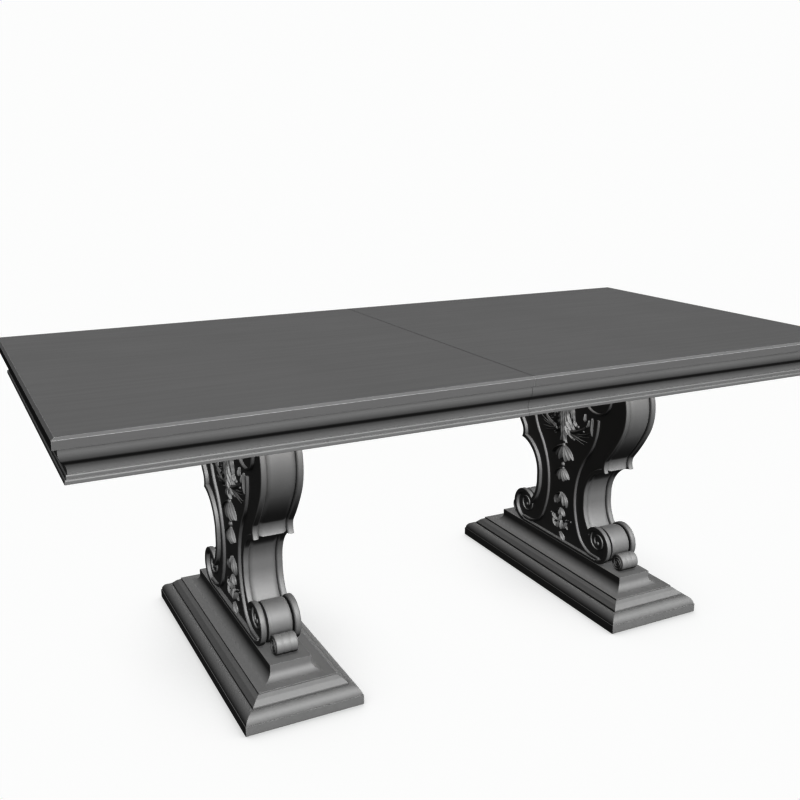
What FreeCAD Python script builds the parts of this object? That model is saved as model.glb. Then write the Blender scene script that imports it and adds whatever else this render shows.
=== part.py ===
"""Double pedestal dining table that opens at the middle, millimetres, +Z up.

The origin is on the floor under the centre of the closed top. X runs along the table, Y across it.
Each half has a moulded top and its own scrolled pedestal on a stepped plinth, and the halves draw
apart on two sets of telescopic wooden runners.
"""
import math
import os

import FreeCAD
import Part
from FreeCAD import Vector

# Overall sizes
table_length = 2000.0
table_width = 1000.0
table_height = 765.0
seam_gap = 0.5
pedestal_spacing = 1006.0

# Top panel
top_thickness = 22.0
top_chamfer_width = 6.6
top_chamfer_height = 4.5

# Frieze moulding under the top, measured inwards from the panel edge
frieze_height = 71.0
frieze_inset = 9.4
frieze_thickness = 35.6
frieze_fascia = 11.0
ogee_depth = 15.2
ogee_drop = 39.0
throat_fillet = 4.0
bead_round = 3.1
bead_fascia = 5.5

# Plinth courses, from the floor up
glide_height = 2.0
glide_radius = 20.0
glide_margin = 40.0
plinth_end_margin = 17.0
plinth_side_margin = 1.0
base_fascia = 22.0
base_quirk = 2.0
ovolo_radius = 21.0
ovolo_shelf = 4.0
chamfer_fillet = 4.5
chamfer_steep = 10.5
chamfer_easy_run = 10.0
chamfer_easy_rise = 5.8
cap_fillet = 3.5
cap_shelf = 23.5
cavetto_radius = 20.0
cap_fascia = 14.7

# Pedestal thickness, from the middle outwards
core_band = 54.0
core_shoulder = 7.0
core_shoulder_drop = 6.0
core_inset = 3.0
face_thickness = 16.0
relief_depth = 11.0

# Pedestal outline as drawn from the foot up, which is then fitted to the height under the bearer
foot_radius = 53.0
foot_reach = 179.5
neck_angle = 137.0
flare_radius = 110.0
waist_half_width = 115.5
waist_straight = 18.0
cove_radius = 96.3
nib_reach = 202.5
nib_radius = 28.0
nib_corner_angle = 215.0
flank_angle = 146.6
flank_length = 92.0
bulge_radius = 134.5

# Raised rim, scroll beads and volutes on the pedestal faces
rim_width = 12.0
ledge_height = 8.0
bead_width = 11.0
scroll_waist = 64.0
scroll_waist_radius = 225.0
scroll_lean = 41.0
scroll_straight = 18.0
scroll_shoulder_radius = 140.0
scroll_stub = 10.0
scroll_foot_radius = 78.0
volute_ratio = 0.83
crown_volute_reach = 158.0
crown_volute_radius = 85.0
crown_volute_quarters = 7
crown_eye_radius = 15.0
foot_volute_radius = 34.0
foot_volute_quarters = 6
foot_volute_bead = 8.0
foot_eye_radius = 8.0

# Carved ornament on the pedestal faces, each motif by its top above the plinth, length and half width
leaf_height = 10.0
petal_height = 8.0
frond_height = 6.0
leaf_crown = 0.4
leaf_trim = 0.12
petal_root = 2.0
petal_swell = 0.4
petal_hollow = 0.1
side_petal_lift = 0.22
crest_top = 546.0
crest_length = 236.0
crest_half_width = 24.0
lobe_root = 3.0
lobe_swell = 0.25
lobe_hollow = 0.1
crest_lobes = ((536.0, 80.0, 66.0), (486.0, 85.0, 58.0), (436.0, 78.0, 46.0), (386.0, 58.0, 30.0))
frond_root = 16.0
frond_hollow = 0.1
frond_sag = 0.2
crest_fronds = ((364.0, 21.0, 112.0), (378.0, 16.0, 98.0), (393.0, 5.0, 88.0))
spike_reach = 122.0
spike_top = 411.0
spike_length = 55.0
spike_half_width = 4.0
husks = ((299.0, 48.0, 42.0), (229.0, 40.0, 28.0))
pearl_rise = 240.0
pearl_radius = 5.5
bud = (153.0, 42.0, 31.0)
flower = (106.0, 66.0, 44.0)
flower_root = 3.0
flower_swell = 0.3
flower_petals = ((0.36, 0.44, 1.0, 0.1, 0.2), (0.36, 1.0, 0.75, 0.3, 0.1))
tail_top = 32.0
tail_length = 23.0
tail_half_width = 9.0

# Toe rolls in front of and behind each pedestal
toe_radius = 24.0
toe_width = 54.0
toe_reeds = 3
reed_relief = 1.6
toe_volute_radius = 15.0
toe_volute_bead = 4.5
toe_volute_relief = 2.0
toe_volute_quarters = 5
roll_gap = 0.2

# Bearer, tie rods and screws
bearer_thickness = 50.0
bearer_width = 120.0
bearer_chamfer = 18.0
rod_diameter = 10.0
rod_clearance = 0.5
rod_offset = 60.0
nut_across = 16.0
nut_height = 8.0
washer_diameter = 24.0
washer_thickness = 2.0
nut_pocket = 14.0
screw_diameter = 5.0
screw_head = 10.0
screw_grip = 14.0
screw_fit = 0.1
bearer_screw_rows = (-38.0, 38.0)
bearer_screw_end = 55.0
bearer_screw_pitch = 185.0
corner_block = 70.0
corner_block_height = 60.0

# Telescopic runners
runner_inset = 160.0
runner_width = 24.0
runner_height = 44.0
runner_setback = 56.0
runner_bearer_gap = 7.0
runner_rebate = 1.0
runner_screw_count = 3
centre_runner_width = 20.0
centre_runner_setback = 36.0
tongue_depth = 9.0
tongue_neck = 10.0
tongue_tip = 16.0
slide_gap = 0.4

# Seam pins and latches
pin_diameter = 8.0
pin_seat = 30.0
pin_reach = 18.0
pin_clearance = 0.4
pin_end_margin = 70.0
pin_count = 4
latch_offset = 150.0
latch_plate_length = 56.0
latch_plate_width = 36.0
latch_plate_thickness = 3.0
latch_pivot = 42.0
latch_post = 20.0
latch_post_radius = 3.0
latch_pin_radius = 4.0
latch_head_radius = 8.0
latch_head_thickness = 2.5
lever_thickness = 4.0
lever_width = 18.0
lever_tail = 14.0
lever_gap = 0.4
pivot_clearance = 0.08
lever_knob_radius = 7.0
lever_knob_height = 9.0

# Heights and places that follow from the sizes above
panel_underside = table_height - top_thickness
bearer_underside = panel_underside - bearer_thickness
base_top = glide_height + base_fascia + ovolo_radius
chamfer_inset = base_quirk + ovolo_radius + ovolo_shelf
chamfer_bend_inset = chamfer_inset + chamfer_steep
chamfer_bend = base_top + chamfer_fillet + chamfer_steep
chamfer_head_inset = chamfer_bend_inset + chamfer_easy_run
chamfer_top = chamfer_bend + chamfer_easy_rise
cap_shelf_top = chamfer_top + cap_fillet
cap_foot_inset = chamfer_head_inset + cap_shelf
cap_inset = cap_foot_inset + cavetto_radius
plinth_top = cap_shelf_top + cavetto_radius + cap_fascia
core_half = core_band / 2 + core_shoulder
ground_level = core_half + face_thickness - relief_depth
face_level = core_half + face_thickness
pedestal_x = pedestal_spacing / 2
pedestal_height = bearer_underside - plinth_top
frieze_inner = frieze_inset + frieze_thickness
bearer_half = table_width / 2 - frieze_inner
bearer_screw_outer = bearer_half - bearer_screw_end
bearer_screw_inner = bearer_screw_outer - bearer_screw_pitch
bearer_screw_places = (-bearer_screw_outer, -bearer_screw_inner, bearer_screw_inner, bearer_screw_outer)
runner_centre = table_width / 2 - runner_inset
runner_end = pedestal_x - bearer_width / 2 - runner_bearer_gap
runner_screw_places = [(k + 0.5) * runner_end / runner_screw_count for k in range(runner_screw_count)]
pin_span = table_width / 2 - pin_end_margin
pin_places = [pin_span * (2 * k / (pin_count - 1) - 1) for k in range(pin_count)]
latch_place = runner_centre - latch_offset
least_edge = 0.001
X_AXIS = Vector(1, 0, 0)
Y_AXIS = Vector(0, 1, 0)
Z_AXIS = Vector(0, 0, 1)


def on_circle(centre, radius, angle):
    """Point of a circle at an angle in degrees."""
    turn = math.radians(angle)
    return (centre[0] + radius * math.cos(turn), centre[1] + radius * math.sin(turn))


def angle_to(centre, point):
    """Angle in degrees of a point seen from a centre."""
    return math.degrees(math.atan2(point[1] - centre[1], point[0] - centre[0]))


def crossing(centre_a, radius_a, centre_b, radius_b):
    """The point where two circles meet that lies nearer to the pedestal's middle."""
    across = math.dist(centre_a, centre_b)
    along = (across ** 2 + radius_a ** 2 - radius_b ** 2) / (2 * across)
    swing = math.degrees(math.acos(along / radius_a))
    heading = angle_to(centre_a, centre_b)
    return min(on_circle(centre_a, radius_a, heading + s * swing) for s in (-1, 1))


def line(start, end):
    """Straight stretch of a path in the YZ plane."""
    return ("line", start, end)


def arc(centre, radius, start, end):
    """Round stretch of a path in the YZ plane, from one angle to another."""
    return ("arc", centre, radius, start, end)


def ends(piece):
    """First and last point of a stretch."""
    if piece[0] == "line":
        return piece[1], piece[2]
    centre, radius, start, end = piece[1:]
    return on_circle(centre, radius, start), on_circle(centre, radius, end)


def edge(piece, mirrored=False):
    """Edge of a stretch, at X = 0, or of its mirror image about the XZ plane."""
    points = list(ends(piece))
    if piece[0] == "arc":
        centre, radius, start, end = piece[1:]
        points.insert(1, on_circle(centre, radius, (start + end) / 2))
    side = -1 if mirrored else 1
    corners = [Vector(0, side * y, z) for y, z in points]
    if len(corners) == 2:
        return Part.LineSegment(*corners).toShape()
    return Part.Arc(*corners).toShape()


def closed_face(edges):
    """Flat face inside a loop of edges."""
    return Part.Face(Part.Wire(Part.__sortEdges__(edges)))


def polygon(points):
    """Flat face inside straight edges through 3-D points."""
    corners = [Vector(*point) for point in points]
    return Part.Face(Part.makePolygon(corners + corners[:1]))


def slab(face, start, end):
    """Face of the YZ plane made a slab from one X to another."""
    placed = face.copy()
    placed.translate(Vector(start, 0, 0))
    return placed.extrude(Vector(end - start, 0, 0))


def fused(solids):
    """Several solids joined into one."""
    if len(solids) == 1:
        return solids[0]
    return solids[0].multiFuse(solids[1:]).removeSplitter().Solids[0]


def cylinder(radius, height, x, y, z, axis=Z_AXIS):
    """Cylinder that starts at a point and runs along an axis."""
    return Part.makeCylinder(radius, height, Vector(x, y, z), axis)


def box(x0, x1, y0, y1, z0, z1):
    """Block between two corners."""
    return Part.makeBox(x1 - x0, y1 - y0, z1 - z0, Vector(x0, y0, z0))


def moved(shape, x=0.0, y=0.0, z=0.0):
    """Copy of a shape at another place."""
    copy = shape.copy()
    copy.translate(Vector(x, y, z))
    return copy


def half_turned(shape):
    """Copy of a shape turned half round about the vertical axis."""
    copy = shape.copy()
    copy.rotate(Vector(0, 0, 0), Z_AXIS, 180)
    return copy


def flipped(shape):
    """Mirror image of a shape, front to back."""
    return shape.mirror(Vector(0, 0, 0), Y_AXIS)


def save(name, shapes):
    """Write one piece, or one group of like pieces."""
    whole = shapes[0] if len(shapes) == 1 else Part.makeCompound(shapes)
    whole.exportStep("parts/" + name + ".step")


# Top panel and frieze
def top_panel(side):
    """Half of the top, chamfered on its three outer edges and bored for the seam pins."""
    half_width = table_width / 2
    end = table_length / 2
    seam = seam_gap / 2
    shoulder = table_height - top_chamfer_height
    across = polygon([
        (0, -half_width, panel_underside),
        (0, half_width, panel_underside),
        (0, half_width, shoulder),
        (0, half_width - top_chamfer_width, table_height),
        (0, -half_width + top_chamfer_width, table_height),
        (0, -half_width, shoulder),
    ]).extrude(Vector(side * end, 0, 0))
    along = polygon([
        (side * seam, -half_width, panel_underside),
        (side * end, -half_width, panel_underside),
        (side * end, -half_width, shoulder),
        (side * (end - top_chamfer_width), -half_width, table_height),
        (side * seam, -half_width, table_height),
    ]).extrude(Vector(0, table_width, 0))
    panel = across.common(along)
    bore = pin_diameter / 2 + (screw_fit if side < 0 else pin_clearance)
    depth = (pin_seat if side < 0 else pin_reach) + pin_clearance
    middle = panel_underside + top_thickness / 2
    for place in pin_places:
        panel = panel.cut(cylinder(bore, depth + seam, 0, place, middle, X_AXIS * side))
    for x, y in bearer_screw_points(side) + runner_screw_points(side):
        pilot = cylinder(screw_diameter / 2 + screw_fit, screw_grip + screw_fit, x, y, panel_underside)
        panel = panel.cut(pilot)
    return panel


def frieze_profile():
    """Edges of the frieze's cross-section in the YZ plane, with Y the distance in from the panel edge."""
    top = panel_underside
    bottom = top - frieze_height
    ogee_top = top - frieze_fascia
    ogee_bottom = ogee_top - ogee_drop
    throat = frieze_inset + ogee_depth
    half_depth = ogee_depth / 2
    half_drop = ogee_drop / 2
    sweep_radius = (half_depth ** 2 + half_drop ** 2) / ogee_depth
    sweep = math.degrees(math.asin(half_drop / sweep_radius))
    bead_top = ogee_bottom - throat_fillet
    lower_top = bead_top - bead_round - bead_fascia
    return [
        line((frieze_inset, top), (frieze_inset, ogee_top)),
        arc((frieze_inset + sweep_radius, ogee_top), sweep_radius, 180, 180 + sweep),
        arc((throat - sweep_radius, ogee_bottom), sweep_radius, sweep, 0),
        line((throat, ogee_bottom), (throat, bead_top)),
        arc((throat, bead_top - bead_round), bead_round, 90, 180),
        line((throat - bead_round, bead_top - bead_round), (throat - bead_round, lower_top)),
        arc((throat - bead_round, lower_top - bead_round), bead_round, 90, 180),
        line((throat - 2 * bead_round, lower_top - bead_round), (throat - 2 * bead_round, bottom)),
        line((throat - 2 * bead_round, bottom), (frieze_inner, bottom)),
        line((frieze_inner, bottom), (frieze_inner, top)),
        line((frieze_inner, top), (frieze_inset, top)),
    ]


def frieze_rail(length):
    """Straight length of the moulding along X, its panel edge at Y = 0 and its inside towards +Y."""
    profile = closed_face([edge(piece) for piece in frieze_profile()])
    return slab(profile, -length / 2, length / 2)


def mitre(points):
    """Upright prism that cuts a rail to its plan."""
    plan = polygon([(x, y, 0) for x, y in points])
    return plan.extrude(Vector(0, 0, table_height))


def side_frieze(side):
    """Front rail of one half, mitred at the outer corner."""
    end = side * table_length / 2
    seam = side * seam_gap / 2
    edge_y = -table_width / 2
    plan = [
        (end, edge_y),
        (seam, edge_y),
        (seam, edge_y + frieze_inner),
        (end - side * frieze_inner, edge_y + frieze_inner),
    ]
    return moved(frieze_rail(table_length), 0, edge_y).common(mitre(plan))


def end_frieze(side):
    """Short rail at one end, mitred at both corners."""
    rail = frieze_rail(table_width)
    rail.rotate(Vector(0, 0, 0), Z_AXIS, side * 90)
    end = side * table_length / 2
    inner = end - side * frieze_inner
    half = table_width / 2
    plan = [(end, -half), (end, half), (inner, half - frieze_inner), (inner, -half + frieze_inner)]
    return moved(rail, end).common(mitre(plan))


def corner_blocks(side):
    """Glued blocks that brace the two mitred corners of one half."""
    corner_x = side * (table_length / 2 - frieze_inner)
    corner_y = table_width / 2 - frieze_inner
    blocks = []
    for front in (-1, 1):
        plan = polygon([
            (corner_x, front * corner_y, panel_underside - corner_block_height),
            (corner_x - side * corner_block, front * corner_y, panel_underside - corner_block_height),
            (corner_x, front * (corner_y - corner_block), panel_underside - corner_block_height),
        ])
        blocks.append(plan.extrude(Vector(0, 0, corner_block_height)))
    return blocks


# Pedestal outline and its relief
def drawn_circles():
    """Circles that shape half the outline as drawn, with the plinth's top at height 0."""
    roll = (foot_reach, foot_radius)
    neck = on_circle(roll, foot_radius, neck_angle)
    flare_y = waist_half_width + flare_radius
    flare = (flare_y, neck[1] + math.sqrt(flare_radius ** 2 - (flare_y - neck[0]) ** 2))
    cove = (waist_half_width + cove_radius, flare[1] + waist_straight)
    corner = (nib_reach, cove[1] + math.sqrt(cove_radius ** 2 - (cove[0] - nib_reach) ** 2))
    nib = on_circle(corner, nib_radius, nib_corner_angle - 180)
    flank = on_circle(nib, nib_radius, flank_angle)
    shoulder = on_circle(flank, flank_length, flank_angle - 90)
    bulge = on_circle(shoulder, bulge_radius, flank_angle)
    return {
        "roll": (roll, foot_radius),
        "flare": (flare, flare_radius),
        "cove": (cove, cove_radius),
        "nib": (nib, nib_radius),
        "bulge": (bulge, bulge_radius),
    }


def drawing_scale():
    """How much the drawing is enlarged so that its head meets the bearer."""
    (_, bulge_z), radius = drawn_circles()["bulge"]
    return pedestal_height / (bulge_z + radius)


def spot(y, height):
    """Place on a pedestal face of a point as drawn."""
    return (y * drawing_scale(), plinth_top + height * drawing_scale())


def fitted_circle(name):
    """Centre and radius of one of the outline's circles, in its place."""
    centre, radius = drawn_circles()[name]
    return spot(*centre), radius * drawing_scale()


def pedestal_outline(inset, foot=0.0, head=0.0):
    """Stretches of half the outline, all set in by the same amount, from the head down to the foot.

    foot and head are how far the flat bottom and top are set in.
    """
    head_z = bearer_underside - head
    foot_z = plinth_top + foot
    roll, roll_r = fitted_circle("roll")
    flare, flare_r = fitted_circle("flare")
    cove, cove_r = fitted_circle("cove")
    nib, nib_r = fitted_circle("nib")
    bulge, bulge_r = fitted_circle("bulge")
    roll_r -= inset
    flare_r += inset
    cove_r += inset
    nib_r += inset
    bulge_r -= inset
    shoulder = on_circle(bulge, bulge_r, flank_angle - 180)
    flank = on_circle(nib, nib_r, flank_angle)
    corner = crossing(nib, nib_r, cove, cove_r)
    neck = crossing(flare, flare_r, roll, roll_r)
    bulge_top = on_circle(bulge, bulge_r, 90)
    roll_end = on_circle(roll, roll_r, -90)
    stretches = [
        line((0, head_z), (bulge_top[0], head_z)),
        line((bulge_top[0], head_z), bulge_top),
        arc(bulge, bulge_r, 90, flank_angle - 180),
        line(shoulder, flank),
        arc(nib, nib_r, flank_angle, angle_to(nib, corner) % 360),
        arc(cove, cove_r, angle_to(cove, corner), 180),
        line((cove[0] - cove_r, cove[1]), (flare[0] - flare_r, flare[1])),
        arc(flare, flare_r, 180, angle_to(flare, neck) % 360),
        arc(roll, roll_r, angle_to(roll, neck), -90),
        line(roll_end, (roll_end[0], foot_z)),
        line((roll_end[0], foot_z), (0, foot_z)),
    ]
    return [piece for piece in stretches if math.dist(*ends(piece)) > least_edge]


def outline_wire(inset, foot=0.0, head=0.0):
    """Whole outline, both sides of the middle, as one closed wire."""
    half = pedestal_outline(inset, foot, head)
    edges = [edge(piece) for piece in half] + [edge(piece, True) for piece in half]
    return Part.Wire(Part.__sortEdges__(edges))


def beside(piece, offset):
    """Stretch that runs beside another at a distance, to its right: outside an arc that turns left."""
    if piece[0] == "line":
        (ay, az), (by, bz) = piece[1:]
        length = math.dist(piece[1], piece[2])
        shift = (offset * (bz - az) / length, -offset * (by - ay) / length)
        return line((ay + shift[0], az + shift[1]), (by + shift[0], bz + shift[1]))
    centre, radius, start, end = piece[1:]
    turn = 1 if end > start else -1
    return arc(centre, radius + turn * offset, start, end)


def band(path, width):
    """Flat band of one width along a smooth path of stretches."""
    right = [beside(piece, width / 2) for piece in path]
    left = [beside(piece, -width / 2) for piece in path]
    start = line(ends(left[0])[0], ends(right[0])[0])
    finish = line(ends(left[-1])[1], ends(right[-1])[1])
    return closed_face([edge(piece) for piece in right + left + [start, finish]])


def volute(start, heading, radius, ratio, quarters):
    """Scroll of quarter arcs, each tighter than the last by the same ratio, turning left."""
    path = []
    point = start
    angle = heading
    for _ in range(quarters):
        centre = on_circle(point, radius, angle + 180)
        path.append(arc(centre, radius, angle, angle + 90))
        angle += 90
        point = on_circle(centre, radius, angle)
        radius *= ratio
    return path


def with_eye(path, width, eye_radius):
    """Faces of a scroll and of the round eye that its last turn ends in."""
    tail = path[-1]
    centre = on_circle(ends(tail)[1], eye_radius - width / 2, tail[4] + 180)
    eye = Part.Face(Part.Wire(Part.makeCircle(eye_radius, Vector(0, *centre), X_AXIS)))
    return [band(path, width), eye]


def scroll_path():
    """Long S-scroll of one side, from under the head volute to the foot volute's rim."""
    scale = drawing_scale()
    waist_z = fitted_circle("flare")[0][1]
    waist_r = scroll_waist_radius * scale
    waist = (scroll_waist * scale + waist_r, waist_z)
    lean = 180 - scroll_lean
    lower = on_circle(waist, waist_r, lean)
    upper = on_circle(lower, scroll_straight * scale, lean - 90)
    shoulder_r = scroll_shoulder_radius * scale
    shoulder = on_circle(upper, shoulder_r, lean)
    tip = (shoulder[0] + shoulder_r, shoulder[1])
    foot_r = scroll_foot_radius * scale
    foot_z = plinth_top + ledge_height + rim_width
    turn_in = 270 - math.degrees(math.acos((waist_z - foot_z - foot_r) / (waist_r - foot_r)))
    foot = on_circle(waist, waist_r - foot_r, turn_in)
    return [
        line((tip[0], tip[1] + scroll_stub * scale), tip),
        arc(shoulder, shoulder_r, 0, -scroll_lean),
        line(upper, lower),
        arc(waist, waist_r, lean, turn_in),
        arc(foot, foot_r, turn_in, 270),
        line((foot[0], foot_z), (foot_reach * scale + bead_width, foot_z)),
    ]


def relief_faces():
    """Raised bands of one side of a face: S-scroll, head volute and foot volute."""
    scale = drawing_scale()
    head_start = (crown_volute_reach * scale, bearer_underside - rim_width / 2)
    head = volute(head_start, 90, crown_volute_radius * scale, volute_ratio, crown_volute_quarters)
    roll, roll_r = fitted_circle("roll")
    foot_start = (roll[0], roll[1] + roll_r - rim_width / 2)
    foot = volute(foot_start, 90, foot_volute_radius * scale, volute_ratio, foot_volute_quarters)
    bands = [band(scroll_path(), bead_width)]
    bands += with_eye(head, bead_width, crown_eye_radius)
    bands += with_eye(foot, foot_volute_bead, foot_eye_radius)
    return bands


def face_board():
    """Carved board of one pedestal face: sunk ground, raised rim, scrolls and volutes, facing +X."""
    whole = Part.Face(outline_wire(0))
    field = Part.Face(outline_wire(rim_width, ledge_height, rim_width))
    ground = slab(whole, core_half, ground_level)
    rim = slab(whole.cut(field), core_half, face_level)
    raised = []
    for face in relief_faces():
        solid = slab(face, core_half, face_level)
        raised += [solid, flipped(solid)]
    return fused([ground, rim] + raised)


def pedestal_core():
    """Thick middle of the pedestal, its shoulders bevelled beside the face boards."""
    middle = slab(Part.Face(outline_wire(core_inset)), -core_band / 2, core_band / 2)
    broad = outline_wire(core_inset)
    narrow = outline_wire(core_inset + core_shoulder_drop)
    broad.translate(Vector(core_band / 2, 0, 0))
    narrow.translate(Vector(core_half, 0, 0))
    shoulder = Part.makeLoft([broad, narrow], True, True)
    core = fused([middle, shoulder, half_turned(shoulder)])
    for y in (-rod_offset, rod_offset):
        core = core.cut(rod_bore(y))
    return core


# Carved ornament
def bowed(start, end, sag):
    """Arc from one point to another that bows to the left by a distance, at X = 0."""
    middle = ((start[0] + end[0]) / 2, (start[1] + end[1]) / 2)
    length = math.dist(start, end)
    across = (-(end[1] - start[1]) / length, (end[0] - start[0]) / length)
    crown = (middle[0] + sag * across[0], middle[1] + sag * across[1])
    return Part.Arc(Vector(0, *start), Vector(0, *crown), Vector(0, *end)).toShape()


def leaf(root, tip, left, right, height=leaf_height):
    """Pointed leaf that rises from the ground: its sides bow left and right of the line root to tip."""
    root = spot(*root)
    tip = spot(*tip)
    left *= drawing_scale()
    right *= drawing_scale()
    middle = (left + right) / 2
    wires = []
    for level, spread, trim in ((0, 1, 0), (height, leaf_crown, leaf_trim)):
        near = tuple(r + trim * (t - r) for r, t in zip(root, tip))
        far = tuple(t + trim * (r - t) for r, t in zip(root, tip))
        one = bowed(near, far, middle + spread * (left - middle))
        other = bowed(near, far, middle + spread * (right - middle))
        wire = Part.Wire([one, other])
        wire.translate(Vector(ground_level + level, 0, 0))
        wires.append(wire)
    return Part.makeLoft(wires, True, True)


def leaf_pair(root, tip, outer, inner, height=petal_height):
    """A leaf and its mirror image on the other side of the middle."""
    one = leaf(root, tip, outer, inner, height)
    return [one, flipped(one)]


def husk(top, length, half_width):
    """Bellflower of three petals that hangs from its top."""
    bottom = top - length
    swell = half_width * petal_swell
    hollow = half_width * petal_hollow
    petals = [leaf((0, top), (0, bottom), swell, -swell)]
    tip = (half_width, bottom + length * side_petal_lift)
    petals += leaf_pair((petal_root, top - petal_root), tip, swell, -hollow)
    return fused(petals)


def crest_carving():
    """Acanthus spray at the head of a face, with its side fronds and two loose spikes."""
    bottom = crest_top - crest_length
    spray = [leaf((0, crest_top), (0, bottom), crest_half_width, -crest_half_width)]
    for top, drop, reach in crest_lobes:
        spray += leaf_pair((lobe_root, top), (reach, top - drop), reach * lobe_swell, -reach * lobe_hollow)
    for top, drop, reach in crest_fronds:
        tip = (reach, top - drop)
        spray += leaf_pair((frond_root, top), tip, -reach * frond_hollow, -reach * frond_sag, frond_height)
    root = (spike_reach, spike_top)
    tip = (spike_reach, spike_top - spike_length)
    spikes = leaf_pair(root, tip, spike_half_width, -spike_half_width, frond_height)
    return [fused(spray)] + spikes


def drop_carving():
    """Hanging bellflowers, pearl, bud, leafy flower and tail leaf down the middle of a face."""
    motifs = [husk(*sizes) for sizes in husks + (bud,)]
    pearl = cylinder(pearl_radius, petal_height, ground_level, *spot(0, pearl_rise), X_AXIS)
    top, length, reach = flower
    petals = [leaf((0, top), (0, top - length), reach * flower_swell, -reach * flower_swell)]
    for start, end, spread, outer, inner in flower_petals:
        root = (flower_root, top - length * start)
        tip = (reach * spread, top - length * end)
        petals += leaf_pair(root, tip, reach * outer, -reach * inner)
    tail = leaf((0, tail_top), (0, tail_top - tail_length), tail_half_width, -tail_half_width, petal_height)
    return motifs + [pearl, fused(petals), tail]


# Toe rolls
def toe_centre():
    """Axis of the back toe roll, which lies on the plinth against the pedestal's rolled foot."""
    roll, roll_r = fitted_circle("roll")
    reach = toe_radius + roll_r - core_inset + roll_gap
    return (roll[0] + math.sqrt(reach ** 2 - (roll_r - toe_radius) ** 2), plinth_top + toe_radius)


def toe_roll():
    """Reeded scroll roll in front of the pedestal's foot, a small volute on each end."""
    valley = toe_radius - reed_relief
    pitch = toe_width / toe_reeds
    start = -toe_width / 2
    edges = [Part.LineSegment(Vector(start, 0, 0), Vector(start, 0, valley)).toShape()]
    for reed in range(toe_reeds):
        left = start + reed * pitch
        crown = Vector(left + pitch / 2, 0, toe_radius)
        edges.append(Part.Arc(Vector(left, 0, valley), crown, Vector(left + pitch, 0, valley)).toShape())
    edges.append(Part.LineSegment(Vector(-start, 0, valley), Vector(-start, 0, 0)).toShape())
    edges.append(Part.LineSegment(Vector(-start, 0, 0), Vector(start, 0, 0)).toShape())
    roll = closed_face(edges).revolve(Vector(0, 0, 0), X_AXIS, 360)
    curl = volute((toe_volute_radius, 0), 0, toe_volute_radius, volute_ratio, toe_volute_quarters)
    ends_relief = slab(band(curl, toe_volute_bead), toe_width / 2, toe_width / 2 + toe_volute_relief)
    other_end = ends_relief.mirror(Vector(0, 0, 0), X_AXIS)
    return moved(fused([roll, ends_relief, other_end]), 0, *toe_centre())


# Plinth
def plinth_length():
    """Length of the plinth's foot: it runs a margin past the toe rolls."""
    return 2 * (toe_centre()[0] + toe_radius + plinth_end_margin + cap_inset)


def plinth_width():
    """Width of the plinth's foot: its cap is a little wider than the pedestal."""
    return 2 * (face_level + plinth_side_margin + cap_inset)


def moulded_block(profile):
    """Plinth course with the same moulding on all four sides, mitred at the corners.

    profile is the stretches from the bottom up, with Y the inset from the plinth's edge.
    """
    length = plinth_length()
    width = plinth_width()
    bottom_inset, bottom = ends(profile[0])[0]
    top_inset, top = ends(profile[-1])[1]
    blocks = []
    for half, run in ((length / 2, width), (width / 2, length)):
        inner = [line((top_inset, top), (half, top)), line((half, top), (half, bottom))]
        inner.append(line((half, bottom), (bottom_inset, bottom)))
        face = closed_face([edge(piece) for piece in profile + inner])
        one = moved(slab(face, -run / 2, run / 2), 0, -half)
        blocks.append(one.fuse(flipped(one)).removeSplitter())
    blocks[1].rotate(Vector(0, 0, 0), Z_AXIS, 90)
    return blocks[0].common(blocks[1])


def plinth_base():
    """Lowest course: a fascia under a quarter-round, with pockets for the tie rod nuts."""
    fascia_top = glide_height + base_fascia
    profile = [
        line((0, glide_height), (0, fascia_top)),
        line((0, fascia_top), (base_quirk, fascia_top)),
        arc((base_quirk + ovolo_radius, fascia_top), ovolo_radius, 180, 90),
    ]
    course = moulded_block(profile)
    pocket_radius = washer_diameter / 2 + rod_clearance
    for y in (-rod_offset, rod_offset):
        course = course.cut(rod_bore(y))
        course = course.cut(cylinder(pocket_radius, nut_pocket, 0, y, glide_height))
    return course


def plinth_chamfer():
    """Middle course: a fillet under sides that slope steeply and then more gently."""
    fillet_top = base_top + chamfer_fillet
    profile = [
        line((chamfer_inset, base_top), (chamfer_inset, fillet_top)),
        line((chamfer_inset, fillet_top), (chamfer_bend_inset, chamfer_bend)),
        line((chamfer_bend_inset, chamfer_bend), (chamfer_head_inset, chamfer_top)),
    ]
    course = moulded_block(profile)
    for y in (-rod_offset, rod_offset):
        course = course.cut(rod_bore(y))
    return course


def plinth_cap():
    """Upper course: a fillet and a flat shelf, a cavetto, and the fascia that carries the pedestal."""
    cove_top = cap_shelf_top + cavetto_radius
    profile = [
        line((chamfer_head_inset, chamfer_top), (chamfer_head_inset, cap_shelf_top)),
        line((chamfer_head_inset, cap_shelf_top), (cap_foot_inset, cap_shelf_top)),
        arc((cap_foot_inset, cove_top), cavetto_radius, 270, 360),
        line((cap_inset, cove_top), (cap_inset, plinth_top)),
    ]
    course = moulded_block(profile)
    for y in (-rod_offset, rod_offset):
        course = course.cut(rod_bore(y))
    return course


def glides():
    """Discs under the corners of a plinth."""
    x = plinth_width() / 2 - glide_margin
    y = plinth_length() / 2 - glide_margin
    return [cylinder(glide_radius, glide_height, i * x, j * y, 0) for i in (-1, 1) for j in (-1, 1)]


# Bearer, tie rods and screws
def rod_bore(y):
    """Hole for a tie rod, all the way up a pedestal."""
    return cylinder(rod_diameter / 2 + rod_clearance, panel_underside, 0, y, 0)


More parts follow.
